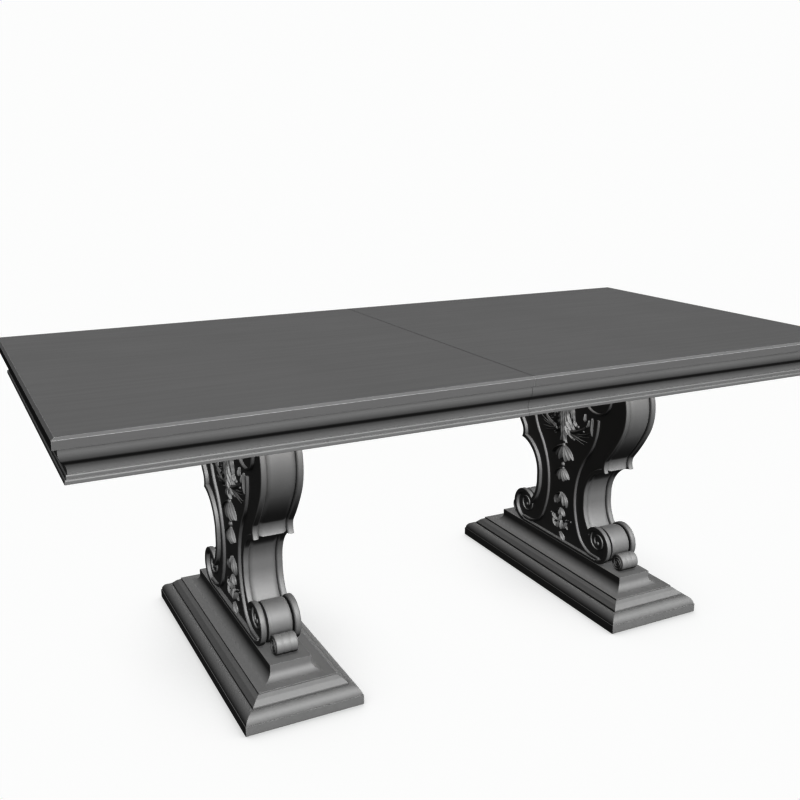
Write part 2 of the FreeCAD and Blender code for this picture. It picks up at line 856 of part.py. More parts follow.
def bearer():
    """Cross batten between the pedestal and the top, its ends against the frieze."""
    half = bearer_half
    outline = polygon([
        (0, -half, panel_underside),
        (0, -half, bearer_underside + bearer_chamfer),
        (0, -half + bearer_chamfer, bearer_underside),
        (0, half - bearer_chamfer, bearer_underside),
        (0, half, bearer_underside + bearer_chamfer),
        (0, half, panel_underside),
    ])
    batten = slab(outline, -bearer_width / 2, bearer_width / 2)
    pocket = washer_diameter / 2 + rod_clearance
    for y in (-rod_offset, rod_offset):
        batten = batten.cut(rod_bore(y))
        batten = batten.cut(cylinder(pocket, nut_pocket, 0, y, panel_underside - nut_pocket))
    for x in bearer_screw_rows:
        for y in bearer_screw_places:
            batten = batten.cut(screw_hole(bearer_thickness, x, y, bearer_underside))
    return batten


def tie_rods():
    """Threaded rods that clamp plinth, pedestal and bearer, with their washers and nuts."""
    bottom = glide_height + nut_pocket
    top = panel_underside - nut_pocket
    pieces = []
    for y in (-rod_offset, rod_offset):
        reach = washer_thickness + nut_height
        pieces.append(cylinder(rod_diameter / 2, top - bottom + 2 * reach, 0, y, bottom - reach))
        for seat, up in ((bottom, -1), (top, 1)):
            washer_z = seat if up > 0 else seat - washer_thickness
            nut_z = seat + washer_thickness if up > 0 else seat - washer_thickness - nut_height
            clear = cylinder(rod_diameter / 2 + screw_fit, table_height, 0, y, 0)
            pieces.append(cylinder(washer_diameter / 2, washer_thickness, 0, y, washer_z).cut(clear))
            pieces.append(hex_nut(y, nut_z).cut(clear))
    return pieces


def hex_nut(y, z):
    """Six-sided nut blank."""
    corner = nut_across / math.sqrt(3)
    points = [on_circle((0, y), corner, 60 * k) for k in range(6)]
    return polygon([(px, py, z) for px, py in points]).extrude(Vector(0, 0, nut_height))


def screw_profile(length, gap):
    """Countersunk screw standing on its head, from its axis outwards, made larger by a gap."""
    shank = screw_diameter / 2 + gap
    head = screw_head / 2 + gap
    face = polygon([
        (0, 0, 0),
        (head, 0, 0),
        (shank, 0, head - shank),
        (shank, 0, length),
        (0, 0, length),
    ])
    return face.revolve(Vector(0, 0, 0), Z_AXIS, 360)


def screw(depth, x, y, z):
    """Screw through a piece of some depth into the underside of the top."""
    return moved(screw_profile(depth + screw_grip, 0), x, y, z)


def screw_hole(depth, x, y, z):
    """Countersunk hole for such a screw."""
    return moved(screw_profile(depth + screw_grip, screw_fit), x, y, z)


def bearer_screw_points(side):
    """Places of the screws of one bearer."""
    return [(side * pedestal_x + x, y) for x in bearer_screw_rows for y in bearer_screw_places]


def runner_screw_points(side):
    """Places of the screws of the two runners that one half carries."""
    y = runner_middle(side)
    return [(side * x, front * y) for x in runner_screw_places for front in (-1, 1)]


# Telescopic runners
def runner_middle(side):
    """Distance of a fixed runner's middle from the table's centre line: left ones lie further out."""
    return runner_centre - side * (centre_runner_width / 2 + slide_gap + runner_width / 2)


def dovetail(mouth, direction, gap):
    """Points of a tongue that widens outwards from a mouth, made larger by a gap."""
    middle = panel_underside - runner_height / 2
    neck = tongue_neck / 2 + gap
    tip = tongue_tip / 2 + gap
    depth = mouth + direction * (tongue_depth + gap)
    return [(mouth, middle - neck), (depth, middle - tip), (depth, middle + tip), (mouth, middle + neck)]


def centre_runner():
    """Floating runner with a dovetail tongue on both sides, at the back of the table."""
    half = centre_runner_width / 2
    top = panel_underside - runner_rebate
    bottom = panel_underside - runner_height
    right = dovetail(runner_centre + half, 1, 0)
    left = dovetail(runner_centre - half, -1, 0)
    points = [(runner_centre + half, bottom)] + right + [(runner_centre + half, top)]
    points += [(runner_centre - half, top)] + left[::-1] + [(runner_centre - half, bottom)]
    face = polygon([(0, y, z) for y, z in points])
    reach = runner_end - centre_runner_setback
    return slab(face, -reach, reach)


def fixed_runner(side):
    """Runner screwed under one half, grooved for the floating runner, at the back of the table."""
    middle = runner_middle(side)
    near = middle + side * runner_width / 2
    free = -side * (runner_end - runner_setback)
    held = side * runner_end
    start, end = sorted((free, held))
    y0 = middle - runner_width / 2
    y1 = middle + runner_width / 2
    bottom = panel_underside - runner_height
    block = box(start, end, y0, y1, bottom, panel_underside)
    mouth = dovetail(near, -side, slide_gap)
    groove = slab(polygon([(0, y, z) for y, z in mouth]), start, end)
    over = sorted((free, side * seam_gap / 2))
    rebate = box(over[0], over[1], y0, y1, panel_underside - runner_rebate, panel_underside)
    block = block.cut(groove).cut(rebate)
    for x in runner_screw_places:
        block = block.cut(screw_hole(runner_height, side * x, middle, bottom))
    return block


def runner_screws(side):
    """Screws of the runners that one half carries."""
    bottom = panel_underside - runner_height
    return [screw(runner_height, x, y, bottom) for x, y in runner_screw_points(side)]


def bearer_screws(side):
    """Screws of one bearer."""
    return [screw(bearer_thickness, x, y, bearer_underside) for x, y in bearer_screw_points(side)]


# Seam pins and latches
def seam_pins():
    """Dowels in the left half that line the two halves up."""
    middle = panel_underside + top_thickness / 2
    length = pin_seat + pin_reach
    return [cylinder(pin_diameter / 2, length, -pin_seat, y, middle, X_AXIS) for y in pin_places]


def latch_base():
    """Plate under the left half with the riveted pin that the back lever swings on."""
    x1 = -latch_pivot + latch_plate_length / 2
    half = latch_plate_width / 2
    top = panel_underside
    bottom = top - latch_plate_thickness
    plate = box(x1 - latch_plate_length, x1, latch_place - half, latch_place + half, bottom, top)
    swing = lever_thickness + 2 * lever_gap
    pin = cylinder(latch_pin_radius, swing, -latch_pivot, latch_place, bottom - swing)
    head_z = bottom - swing - latch_head_thickness
    head = cylinder(latch_head_radius, latch_head_thickness, -latch_pivot, latch_place, head_z)
    return fused([plate, pin, head])


def latch_keeper():
    """Plate under the right half with the post that the back lever hooks."""
    half = latch_plate_width / 2
    top = panel_underside
    bottom = top - latch_plate_thickness
    x0 = latch_post - latch_plate_width / 2
    plate = box(x0, x0 + latch_plate_width, latch_place - half, latch_place + half, bottom, top)
    drop = lever_thickness + 2 * lever_gap
    post = cylinder(latch_post_radius, drop, latch_post, latch_place, bottom - drop)
    return fused([plate, post])


def latch_lever():
    """Swing lever of the back latch, unlatched along +Y: it swings towards +X to hook its post."""
    top = panel_underside - latch_plate_thickness - lever_gap
    bottom = top - lever_thickness
    hook = latch_pivot + latch_post
    reach = hook + lever_tail
    half = lever_width / 2
    boss = cylinder(half, lever_thickness, 0, 0, bottom)
    arm = box(-half, half, 0, reach, bottom, top)
    end = cylinder(half, lever_thickness, 0, reach, bottom)
    knob = cylinder(lever_knob_radius, lever_knob_height, 0, reach, bottom - lever_knob_height)
    lever = fused([boss, arm, end, knob])
    slot = latch_post_radius + lever_gap
    outer = cylinder(hook + slot, lever_thickness, 0, 0, bottom)
    ring = outer.cut(cylinder(hook - slot, lever_thickness, 0, 0, bottom))
    mouth = ring.common(box(0, reach, 0, 2 * reach, bottom, top))
    seat = cylinder(slot, lever_thickness, 0, hook, bottom)
    pivot = cylinder(latch_pin_radius + pivot_clearance, lever_thickness, 0, 0, bottom)
    lever = lever.cut(mouth).cut(seat).cut(pivot)
    return moved(lever, -latch_pivot, latch_place)


def build():
    """Make every piece and write it under its name."""
    os.makedirs("parts", exist_ok=True)
    core = pedestal_core()
    face = face_board()
    crest = crest_carving()
    drop = drop_carving()
    toe = toe_roll()
    courses = {"base": plinth_base(), "chamfer": plinth_chamfer(), "cap": plinth_cap()}
    for name, side in (("left", -1), ("right", 1)):
        x = side * pedestal_x
        save(name + "_top_panel", [top_panel(side)])
        rail = side_frieze(side)
        save(name + "_front_frieze", [rail])
        save(name + "_back_frieze", [flipped(rail)])
        save(name + "_end_frieze", [end_frieze(side)])
        save(name + "_corner_blocks", corner_blocks(side))
        save(name + "_bearer", [moved(bearer(), x)])
        save(name + "_bearer_screws", bearer_screws(side))
        save(name + "_tie_rods", [moved(piece, x) for piece in tie_rods()])
        save(name + "_pedestal_core", [moved(core, x)])
        for place, turned in (("outer", side < 0), ("inner", side > 0)):
            for piece, solids in (("face", [face]), ("crest_carving", crest), ("drop_carving", drop)):
                placed = [half_turned(solid) if turned else solid for solid in solids]
                label = name + "_pedestal_" + place + "_" + piece
                save(label, [moved(solid, x) for solid in placed])
        save(name + "_back_toe_roll", [moved(toe, x)])
        save(name + "_front_toe_roll", [moved(flipped(toe), x)])
        for course, solid in courses.items():
            save(name + "_plinth_" + course, [moved(solid, x)])
        save(name + "_plinth_glides", [moved(disc, x) for disc in glides()])
        runner = fixed_runner(side)
        save(name + "_back_runner", [runner])
        save(name + "_front_runner", [flipped(runner)])
        save(name + "_runner_screws", runner_screws(side))
    save("back_centre_runner", [centre_runner()])
    save("front_centre_runner", [flipped(centre_runner())])
    save("seam_pins", seam_pins())
    save("latch_bases", [latch_base(), flipped(latch_base())])
    save("latch_keepers", [latch_keeper(), flipped(latch_keeper())])
    save("back_latch_lever", [latch_lever()])
    save("front_latch_lever", [flipped(latch_lever())])


build()
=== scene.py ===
"""Looks of the double pedestal dining table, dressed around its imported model, in metres, +Z up.

The pedestals are drawn in millimetres, as a carver would, and turned to metres when a piece is made.
"""
import math

import bmesh
import bpy
import numpy as np
from mathutils import Matrix, Vector
from mathutils.geometry import delaunay_2d_cdt


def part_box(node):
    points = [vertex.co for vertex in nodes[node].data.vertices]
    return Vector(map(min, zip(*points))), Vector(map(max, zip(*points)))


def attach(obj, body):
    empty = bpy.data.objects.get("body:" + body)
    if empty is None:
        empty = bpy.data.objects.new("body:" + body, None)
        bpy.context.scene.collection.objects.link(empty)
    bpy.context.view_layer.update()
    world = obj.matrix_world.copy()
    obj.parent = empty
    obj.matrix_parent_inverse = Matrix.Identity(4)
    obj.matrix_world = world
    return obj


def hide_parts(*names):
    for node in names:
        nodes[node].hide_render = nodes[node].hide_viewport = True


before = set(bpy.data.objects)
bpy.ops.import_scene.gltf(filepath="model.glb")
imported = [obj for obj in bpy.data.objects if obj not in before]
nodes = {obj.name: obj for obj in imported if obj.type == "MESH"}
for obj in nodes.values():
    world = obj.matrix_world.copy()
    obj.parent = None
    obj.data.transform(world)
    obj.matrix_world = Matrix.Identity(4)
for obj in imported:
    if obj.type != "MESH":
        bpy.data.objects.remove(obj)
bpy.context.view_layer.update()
MM = 0.001

# Mesh making: merging in metres, the filling of flat ends in millimetres, the angle of a sharp edge
merge_reach = 0.00002
cap_reach = 0.001
inside_only = 1
sharp_angle = 38.0

# Camera at the photograph's angle
camera_place = (-1.1840, -2.1759, 1.2539)
camera_azimuth = -27.023
camera_elevation = 14.918
camera_lens = 43.437
camera_sensor = 36.0

# Lights: azimuth from the front towards the left end, elevation, softness, power, seen in gloss or not
lights = (
    ("front_key", -3.0, 39.5, 4.0, 6.9, True),
    ("overhead_fill", 0.0, 88.0, 10.0, 0.3, True),
    ("back_fill", 215.0, 0.5, 30.0, 5.5, False),
)
fill_level = 0.26
backdrop_level = 0.99
floor_reach = 40.0
floor_bounce = 0.2
floor_shadow_level = 0.78
floor_shadow_reach = 0.35
floor_shadow_ramp = (0.3, 1.0)

# Stretch of the grain along a board, and the shares and ramps that mix grain, painted edge highlight and
# painted shade
along_x = (0.06, 1.0, 1.0)
along_y = (1.0, 0.06, 1.0)
along_z = (1.0, 1.0, 0.06)
even_grain = (1.0, 1.0, 1.0)
fibre_share = 0.6
tone_ramp = (0.3, 0.7)
fibre_ramp = (0.35, 0.65)
grain_strength = 0.5
mask_samples = 4
# Ramps of the painted edge highlight, and of painted shade in hollows, crevices and sloping undersides
edge_highlight_ramp = (0.995, 0.9)
hollow_shade_ramp = (0.85, 0.25)
crevice_shade_ramp = (0.8, 0.5)
crevice_shade_reach = 0.007
crevice_shade_share = 0.8
underside_shade_ramp = (-0.46, -0.62)
underside_shade_fade_ramp = (-0.95, -0.75)

# Grey lacquer, and the line in it where the two halves of the top meet
lacquer_tone = 0.2
lacquer_grain = 0.005
lacquer_roughness = (0.66, 0.7)
lacquer_relief = 0.00004
# Share of the dark tone kept on sloping undersides, as painted shade
lacquer_underside_shade = 0.25
seam_line = 0.0016
seam_colour = (0.165,) * 3
upper_side_ramp = (0.9, 0.95)

# Pedestal outline as drawn from the foot up
foot_radius = 53.0
foot_reach = 179.5
neck_angle = 137.0
flare_radius = 110.0
waist_half_width = 115.5
waist_straight = 18.0
cove_radius = 96.3
nib_reach = 202.5
nib_radius = 31.86
nib_corner_angle = 215.0
flank_foot_angle = 140.0
flank_head_angle = 151.0
flank_radius = 496.0
bulge_radius = 134.5

# Steps along each stretch of half the outline, from the head down
outline_steps = (1, 1, 28, 10, 12, 20, 1, 18, 40, 1, 1)

# Face boards and the core between them
relief_depth = 11.0
rim_width = 12.0
ledge_height = 8.0
rim_round = 2.6
back_round = 6.0
ground_fillet = 1.5
core_inset = 3.0
core_shoulder = 12.0
core_shoulder_drop = 4.0
roll_groove_depth = 9.0
roll_groove_width = 4.8
round_steps = 5

# Beads, scrolls and volutes on the faces
bead_width = 8.0
bead_rise = 8.5
bead_round = 2.2
bead_sink = 2.0
bead_pitch = 2.5
scroll_waist = 64.0
scroll_waist_radius = 225.0
scroll_lean = 39.0
scroll_straight = 2.0
scroll_shoulder_radius = 169.0
scroll_stub = 4.0
scroll_foot_radius = 78.0
scroll_foot_gap = 5.0
volute_ratio = 0.83
crown_volute_reach = 158.0
crown_volute_radius = 85.0
crown_volute_quarters = 7
crown_eye_radius = 15.0
eye_flatness = 0.8
foot_volute_radius = 34.0
foot_volute_quarters = 6
foot_volute_bead = 4.8
foot_eye_radius = 6.5

# Carved ornament, places as (distance from the middle, height above the plinth)
leaf_row_pitch = 3.0
leaf_least_rows = 16
leaf_columns = 13
leaf_skirt = 1.5
leaf_root_width = 0.45
leaf_end_rise = 0.6
leaf_crest_lean = 1.3
leaf_edge_fall = 0.88
leaf_edge_curve = 1.4
flute_depth = 0.3
lobe_pitch = 17.0
lobe_depth = 0.42
crest_leaves = (
    ((0, 564), (0, 310), 5, 12.0, 0),
    ((9, 562), (10, 318), 3.5, 12.0, -1),
    ((16, 562), (17, 356), 3.5, 12.0, -2),
    ((5, 402), (31, 350), 4, 13.0, -6),
    ((8, 414), (38, 364), 3.5, 11.0, -7),
    ((3, 372), (26, 335), 4, 13.0, -4),
    ((2, 344), (15, 308), 2.6, 11.0, -3),
    ((18, 562), (36, 386), 4, 12.0, -6),
    ((27, 562), (49, 373), 4, 12.0, -9),
    ((34, 562), (66, 430), 6, 12.0, -10),
    ((24, 380), (56, 353), 4, 10.0, -5),
    ((18, 350), (46, 328), 4.5, 10.0, -4),
    ((42, 388), (62, 369), 4, 11.0, -4),
    ((92, 416), (94, 393), 5, 10.0, 1),
    ((110, 402), (108, 380), 3.5, 9.0, 2),
)
leaf_belly = 0.55
leaf_point = 0.65
spike_belly = 0.12
spike_point = 1.3
spike_leaves = (((123, 411), (128, 356), 4.5, 9.0, 0),)
crest_fronds = (
    ((40, 350), (98, 379), 9, 0.85),
    ((40, 348), (119, 366), 12, 0.42),
    ((38, 346), (108, 351), 9, 0.36),
    ((36, 344), (104, 335), 6, 0.5),
    ((34, 340), (93, 325), 4, 0.36),
)
frond_points = 24
frond_width = 14.0
frond_rise = 14.0
frond_round = 6.3
frond_taper = 0.65
pearl_flatness = 1.2
pearl_segments = 20
pearl_rings = 12
berries = ((62, 369, 5.5), (55, 353, 4.5), (45, 328, 5.0), (100, 380, 4.0), (88, 372, 3.5), (87, 362, 4.0))
husks = ((299, 48, 49), (229, 40, 33))

# Petals of a husk: root's place off the middle and below the top, then reach, width and bow by half width,
# the tip's lift by length, and rise
husk_petals = (
    (2, 1, 0.3, 0.16, 0.06, 0.0, 13.0),
    (3, 0, 0.62, 0.13, 0.13, 0.16, 12.0),
    (4, 0, 1.0, 0.11, 0.2, 0.28, 11.0),
)
pearls = ((0, 240, 7.5), (0, 299, 7.0), (0, 229, 5.5), (48, 74, 3.5))
bud_leaves = (
    ((0, 154), (0, 130), 8, 13.0, 0),
    ((4, 143), (15, 113), 6, 11.0, 4),
    ((6, 151), (27, 110), 4, 10.0, 19),
)
flower_leaves = (
    ((0, 104), (0, 80), 4.5, 13.0, 0),
    ((3, 102), (20, 82), 4.5, 12.0, 4),
    ((0, 86), (0, 58), 5, 11.0, 0),
    ((14, 61), (39, 77), 3, 11.0, -3),
    ((30, 76), (18, 39), 4, 12.0, 6),
    ((12, 60), (36, 45), 5, 6.0, 4),
    ((4, 66), (9, 38), 5, 12.0, 2),
)
tail_leaves = (((0, 28), (24, 7), 5.5, 12.0, 5),)

# Toe rolls
toe_relief = 1.0
toe_reeds = 3
toe_reed_sharpness = 3
toe_edge_round = 2.0
toe_spiral_turns = 2.1
toe_spiral_start = 19.5
toe_spiral_end = 4.5
toe_spiral_bead = 4.6
toe_spiral_rise = 2.0
toe_spiral_round = 1.84
toe_spiral_heading = 200.0
toe_spiral_step = 10.0
toe_columns = 61
toe_spokes = 96

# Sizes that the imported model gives
face_low, face_high = [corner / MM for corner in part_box("left_pedestal_inner_face")]
core_low, core_high = [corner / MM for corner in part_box("left_pedestal_core")]
plinth_top = face_low.z
bearer_underside = face_high.z
pedestal_reach = (core_low.x + core_high.x) / 2
core_half = (core_high.x - core_low.x) / 2
face_level = face_high.x - pedestal_reach
ground_level = face_level - relief_depth


# Drawing in the plane of a pedestal face, points as (y, z)
def on_circle(centre, radius, angle):
    """Point of a circle at an angle in degrees."""
    turn = math.radians(angle)
    return (centre[0] + radius * math.cos(turn), centre[1] + radius * math.sin(turn))


def angle_to(centre, point):
    """Angle in degrees of a point seen from a centre."""
    return math.degrees(math.atan2(point[1] - centre[1], point[0] - centre[0]))


def crossing(centre_a, radius_a, centre_b, radius_b):
    """The point where two circles meet that lies nearer to the pedestal's middle."""
    across = math.dist(centre_a, centre_b)
    along = (across ** 2 + radius_a ** 2 - radius_b ** 2) / (2 * across)
    swing = math.degrees(math.acos(along / radius_a))
    heading = angle_to(centre_a, centre_b)
    return min(on_circle(centre_a, radius_a, heading + s * swing) for s in (-1, 1))


def line(start, end):
    """Straight stretch of a drawn line."""
    return ("line", start, end)


def arc(centre, radius, start, end):
    """Round stretch of a drawn line, from one angle to another."""
    return ("arc", centre, radius, start, end)


def points_along(piece, count):
    """Points along a stretch, both ends included."""
    if piece[0] == "line":
        (ay, az), (by, bz) = piece[1:]
        return [(ay + (by - ay) * k / count, az + (bz - az) * k / count) for k in range(count + 1)]
    centre, radius, start, end = piece[1:]
    return [on_circle(centre, radius, start + (end - start) * k / count) for k in range(count + 1)]


def drawn_circles():
    """Circles that shape half the outline as drawn, with the plinth's top at height 0."""
    roll = (foot_reach, foot_radius)
    neck = on_circle(roll, foot_radius, neck_angle)
    flare_y = waist_half_width + flare_radius
    flare = (flare_y, neck[1] + math.sqrt(flare_radius ** 2 - (flare_y - neck[0]) ** 2))
    cove = (waist_half_width + cove_radius, flare[1] + waist_straight)
    corner = (nib_reach, cove[1] + math.sqrt(cove_radius ** 2 - (cove[0] - nib_reach) ** 2))
    nib = on_circle(corner, nib_radius, nib_corner_angle - 180)
    flank = on_circle(nib, nib_radius + flank_radius, flank_foot_angle)
    bulge = on_circle(flank, bulge_radius - flank_radius, flank_head_angle)
    return {
        "roll": (roll, foot_radius),
        "flare": (flare, flare_radius),
        "cove": (cove, cove_radius),
        "nib": (nib, nib_radius),
        "flank": (flank, flank_radius),
        "bulge": (bulge, bulge_radius),
    }


circles = drawn_circles()
drawing_scale = (bearer_underside - plinth_top) / (circles["bulge"][0][1] + bulge_radius)


def spot(y, height):
    """Place on a pedestal face of a point as drawn."""
    return (y * drawing_scale, plinth_top + height * drawing_scale)


def fitted_circle(name):
    """Centre and radius of one of the outline's circles, in its place."""
    centre, radius = circles[name]
    return spot(*centre), radius * drawing_scale


def pedestal_outline(inset, foot, head, roll_sink):
    """Stretches of half the outline, set in by one amount and the foot roll by more, from the head down."""
    head_z = bearer_underside - head
    foot_z = plinth_top + foot
    roll, roll_r = fitted_circle("roll")
    flare, flare_r = fitted_circle("flare")
    cove, cove_r = fitted_circle("cove")
    nib, nib_r = fitted_circle("nib")
    flank, flank_r = fitted_circle("flank")
    bulge, bulge_r = fitted_circle("bulge")
    roll_r -= inset + roll_sink
    flare_r += inset
    cove_r += inset
    nib_r += inset
    flank_r -= inset
    bulge_r -= inset
    corner = crossing(nib, nib_r, cove, cove_r)
    neck = crossing(flare, flare_r, roll, roll_r)
    bulge_top = on_circle(bulge, bulge_r, 90)
    roll_end = on_circle(roll, roll_r, -90)
    return [
        line((0, head_z), (bulge_top[0], head_z)),
        line((bulge_top[0], head_z), bulge_top),
        arc(bulge, bulge_r, 90, flank_head_angle - 180),
        arc(flank, flank_r, flank_head_angle - 180, flank_foot_angle - 180),
        arc(nib, nib_r, flank_foot_angle, angle_to(nib, corner) % 360),
        arc(cove, cove_r, angle_to(cove, corner), 180),
        line((cove[0] - cove_r, cove[1]), (flare[0] - flare_r, flare[1])),
        arc(flare, flare_r, 180, angle_to(flare, neck) % 360),
        arc(roll, roll_r, angle_to(roll, neck), -90),
        line(roll_end, (roll_end[0], foot_z)),
        line((roll_end[0], foot_z), (0, foot_z)),
    ]


def outline_ring(x, inset, foot=0.0, head=0.0, roll_sink=0.0):
    """Points of the whole outline, both sides of the middle, at one distance from the core's middle."""
    half = []
    for piece, count in zip(pedestal_outline(inset, foot, head, roll_sink), outline_steps):
        half += points_along(piece, count)[:-1]
    half.append((0, plinth_top + foot))
    whole = half + [(-y, z) for y, z in half[-2:0:-1]]
    return [(x, y, z) for y, z in whole]


def quarter_round(start, end, leaves_along_x):
    """Quarter of an oval between two (x, inset) places of a section."""
    places = []
    for k in range(round_steps + 1):
        turn = math.radians(90 * k / round_steps)
        first = math.sin(turn)
        second = 1 - math.cos(turn)
        shares = (first, second) if leaves_along_x else (second, first)
        places.append(tuple(s + (e - s) * share for s, e, share in zip(start, end, shares)))
    return places


def soft_round(start, end):
    """Gentle roll between two (x, inset) places of a section, flat where it starts."""
    places = []
    for k in range(round_steps + 1):
        share = k / round_steps
        fall = 1 - math.cos(math.pi / 2 * share)
        places.append((start[0] + (end[0] - start[0]) * share, start[1] + (end[1] - start[1]) * fall))
    return places


def volute(start, heading, radius, quarters):
    """Scroll of quarter arcs, each tighter than the last by the same ratio, turning left."""
    path = []
    point = start
    angle = heading
    for _ in range(quarters):
        centre = on_circle(point, radius, angle + 180)
        path.append(arc(centre, radius, angle, angle + 90))
        angle += 90
        point = on_circle(centre, radius, angle)
        radius *= volute_ratio
    return path


def scroll_path():
    """Long S-scroll of one side, from under the head volute to the foot volute's rim."""
    waist_z = fitted_circle("flare")[0][1]
    waist_r = scroll_waist_radius * drawing_scale
    waist = (scroll_waist * drawing_scale + waist_r, waist_z)
    lean = 180 - scroll_lean
    lower = on_circle(waist, waist_r, lean)
    upper = on_circle(lower, scroll_straight * drawing_scale, lean - 90)
    shoulder_r = scroll_shoulder_radius * drawing_scale
    shoulder = on_circle(upper, shoulder_r, lean)
    tip = (shoulder[0] + shoulder_r, shoulder[1])
    foot_r = scroll_foot_radius * drawing_scale
    foot_z = plinth_top + ledge_height + scroll_foot_gap
    turn_in = 270 - math.degrees(math.acos((waist_z - foot_z - foot_r) / (waist_r - foot_r)))
    foot = on_circle(waist, waist_r - foot_r, turn_in)
    return [
        line((tip[0], tip[1] + scroll_stub * drawing_scale), tip),
        arc(shoulder, shoulder_r, 0, -scroll_lean),
        line(upper, lower),
        arc(waist, waist_r, lean, turn_in),
        arc(foot, foot_r, turn_in, 270),
        line((foot[0], foot_z), (foot_reach * drawing_scale + bead_width, foot_z)),
    ]


def drawn_line(path, pitch):
    """Points along a chain of stretches, about one pitch apart."""
    points = []
    for piece in path:
        if piece[0] == "line":
            length = math.dist(piece[1], piece[2])
        else:
            length = abs(math.radians(piece[4] - piece[3])) * piece[2]
        points += points_along(piece, max(1, round(length / pitch)))[:-1]
    return points + [points_along(path[-1], 1)[-1]]


# Shared shader effects
def new_group(name, inputs, outputs):
    """Empty shader group with named sockets: inputs have a kind and a first value, outputs a kind."""
    tree = bpy.data.node_groups.new(name, "ShaderNodeTree")
    for label, kind, value in inputs:
        socket = tree.interface.new_socket(label, in_out="INPUT", socket_type=kind)
        socket.default_value = value
    for label, kind in outputs:
        tree.interface.new_socket(label, in_out="OUTPUT", socket_type=kind)
    return tree, tree.nodes.new("NodeGroupInput"), tree.nodes.new("NodeGroupOutput")


def maths(tree, operation, first, second):
    """Math node between two sockets or numbers."""
    node = tree.nodes.new("ShaderNodeMath")
    node.operation = operation
    for socket, value in zip(node.inputs, (first, second)):
        if isinstance(value, (int, float)):
            socket.default_value = value
        else:
            tree.links.new(value, socket)
    return node.outputs[0]


def ramped(tree, value, low, high, out_low=0.0, out_high=1.0):
    """Smooth step of a value between two levels."""
    node = tree.nodes.new("ShaderNodeMapRange")
    node.interpolation_type = "SMOOTHSTEP"
    tree.links.new(value, node.inputs["Value"])
    for label, level in (("From Min", low), ("From Max", high), ("To Min", out_low), ("To Max", out_high)):
        node.inputs[label].default_value = level
    return node.outputs["Result"]


def mixed(tree, mask, first, second):
    """Colour between two colours, by a mask."""
    node = tree.nodes.new("ShaderNodeMix")
    node.data_type = "RGBA"
    tree.links.new(mask, node.inputs[0])
    for socket, value in ((node.inputs[6], first), (node.inputs[7], second)):
        if isinstance(value, tuple):
            socket.default_value = value + (1.0,)
        else:
            tree.links.new(value, socket)
    return node.outputs[2]


def grain_group():
    """Long fibres, pores and slow cloudiness of wood, stretched along the board."""
    inputs = [("Stretch", "NodeSocketVector", even_grain), ("Fineness", "NodeSocketFloat", 60.0)]
    outputs = [("Tone", "NodeSocketFloat"), ("Height", "NodeSocketFloat")]
    tree, start, end = new_group("wood_grain", inputs, outputs)
    place = tree.nodes.new("ShaderNodeTexCoord")
    mapping = tree.nodes.new("ShaderNodeMapping")
    tree.links.new(place.outputs["Object"], mapping.inputs["Vector"])
    tree.links.new(start.outputs["Stretch"], mapping.inputs["Scale"])
    fibre = tree.nodes.new("ShaderNodeTexNoise")
    tree.links.new(mapping.outputs["Vector"], fibre.inputs["Vector"])
    tree.links.new(start.outputs["Fineness"], fibre.inputs["Scale"])
    fibre.inputs["Detail"].default_value = 5.0
    fibre.inputs["Distortion"].default_value = 0.4
    cloud = tree.nodes.new("ShaderNodeTexNoise")
    tree.links.new(place.outputs["Object"], cloud.inputs["Vector"])
    cloud.inputs["Scale"].default_value = 3.0
    cloud.inputs["Detail"].default_value = 2.0
    fibres = maths(tree, "MULTIPLY", fibre.outputs["Fac"], fibre_share)
    clouds = maths(tree, "MULTIPLY", cloud.outputs["Fac"], 1 - fibre_share)
    tone = maths(tree, "ADD", fibres, clouds)
    tree.links.new(ramped(tree, tone, *tone_ramp), end.inputs["Tone"])
    tree.links.new(ramped(tree, fibre.outputs["Fac"], *fibre_ramp), end.inputs["Height"])
    return tree


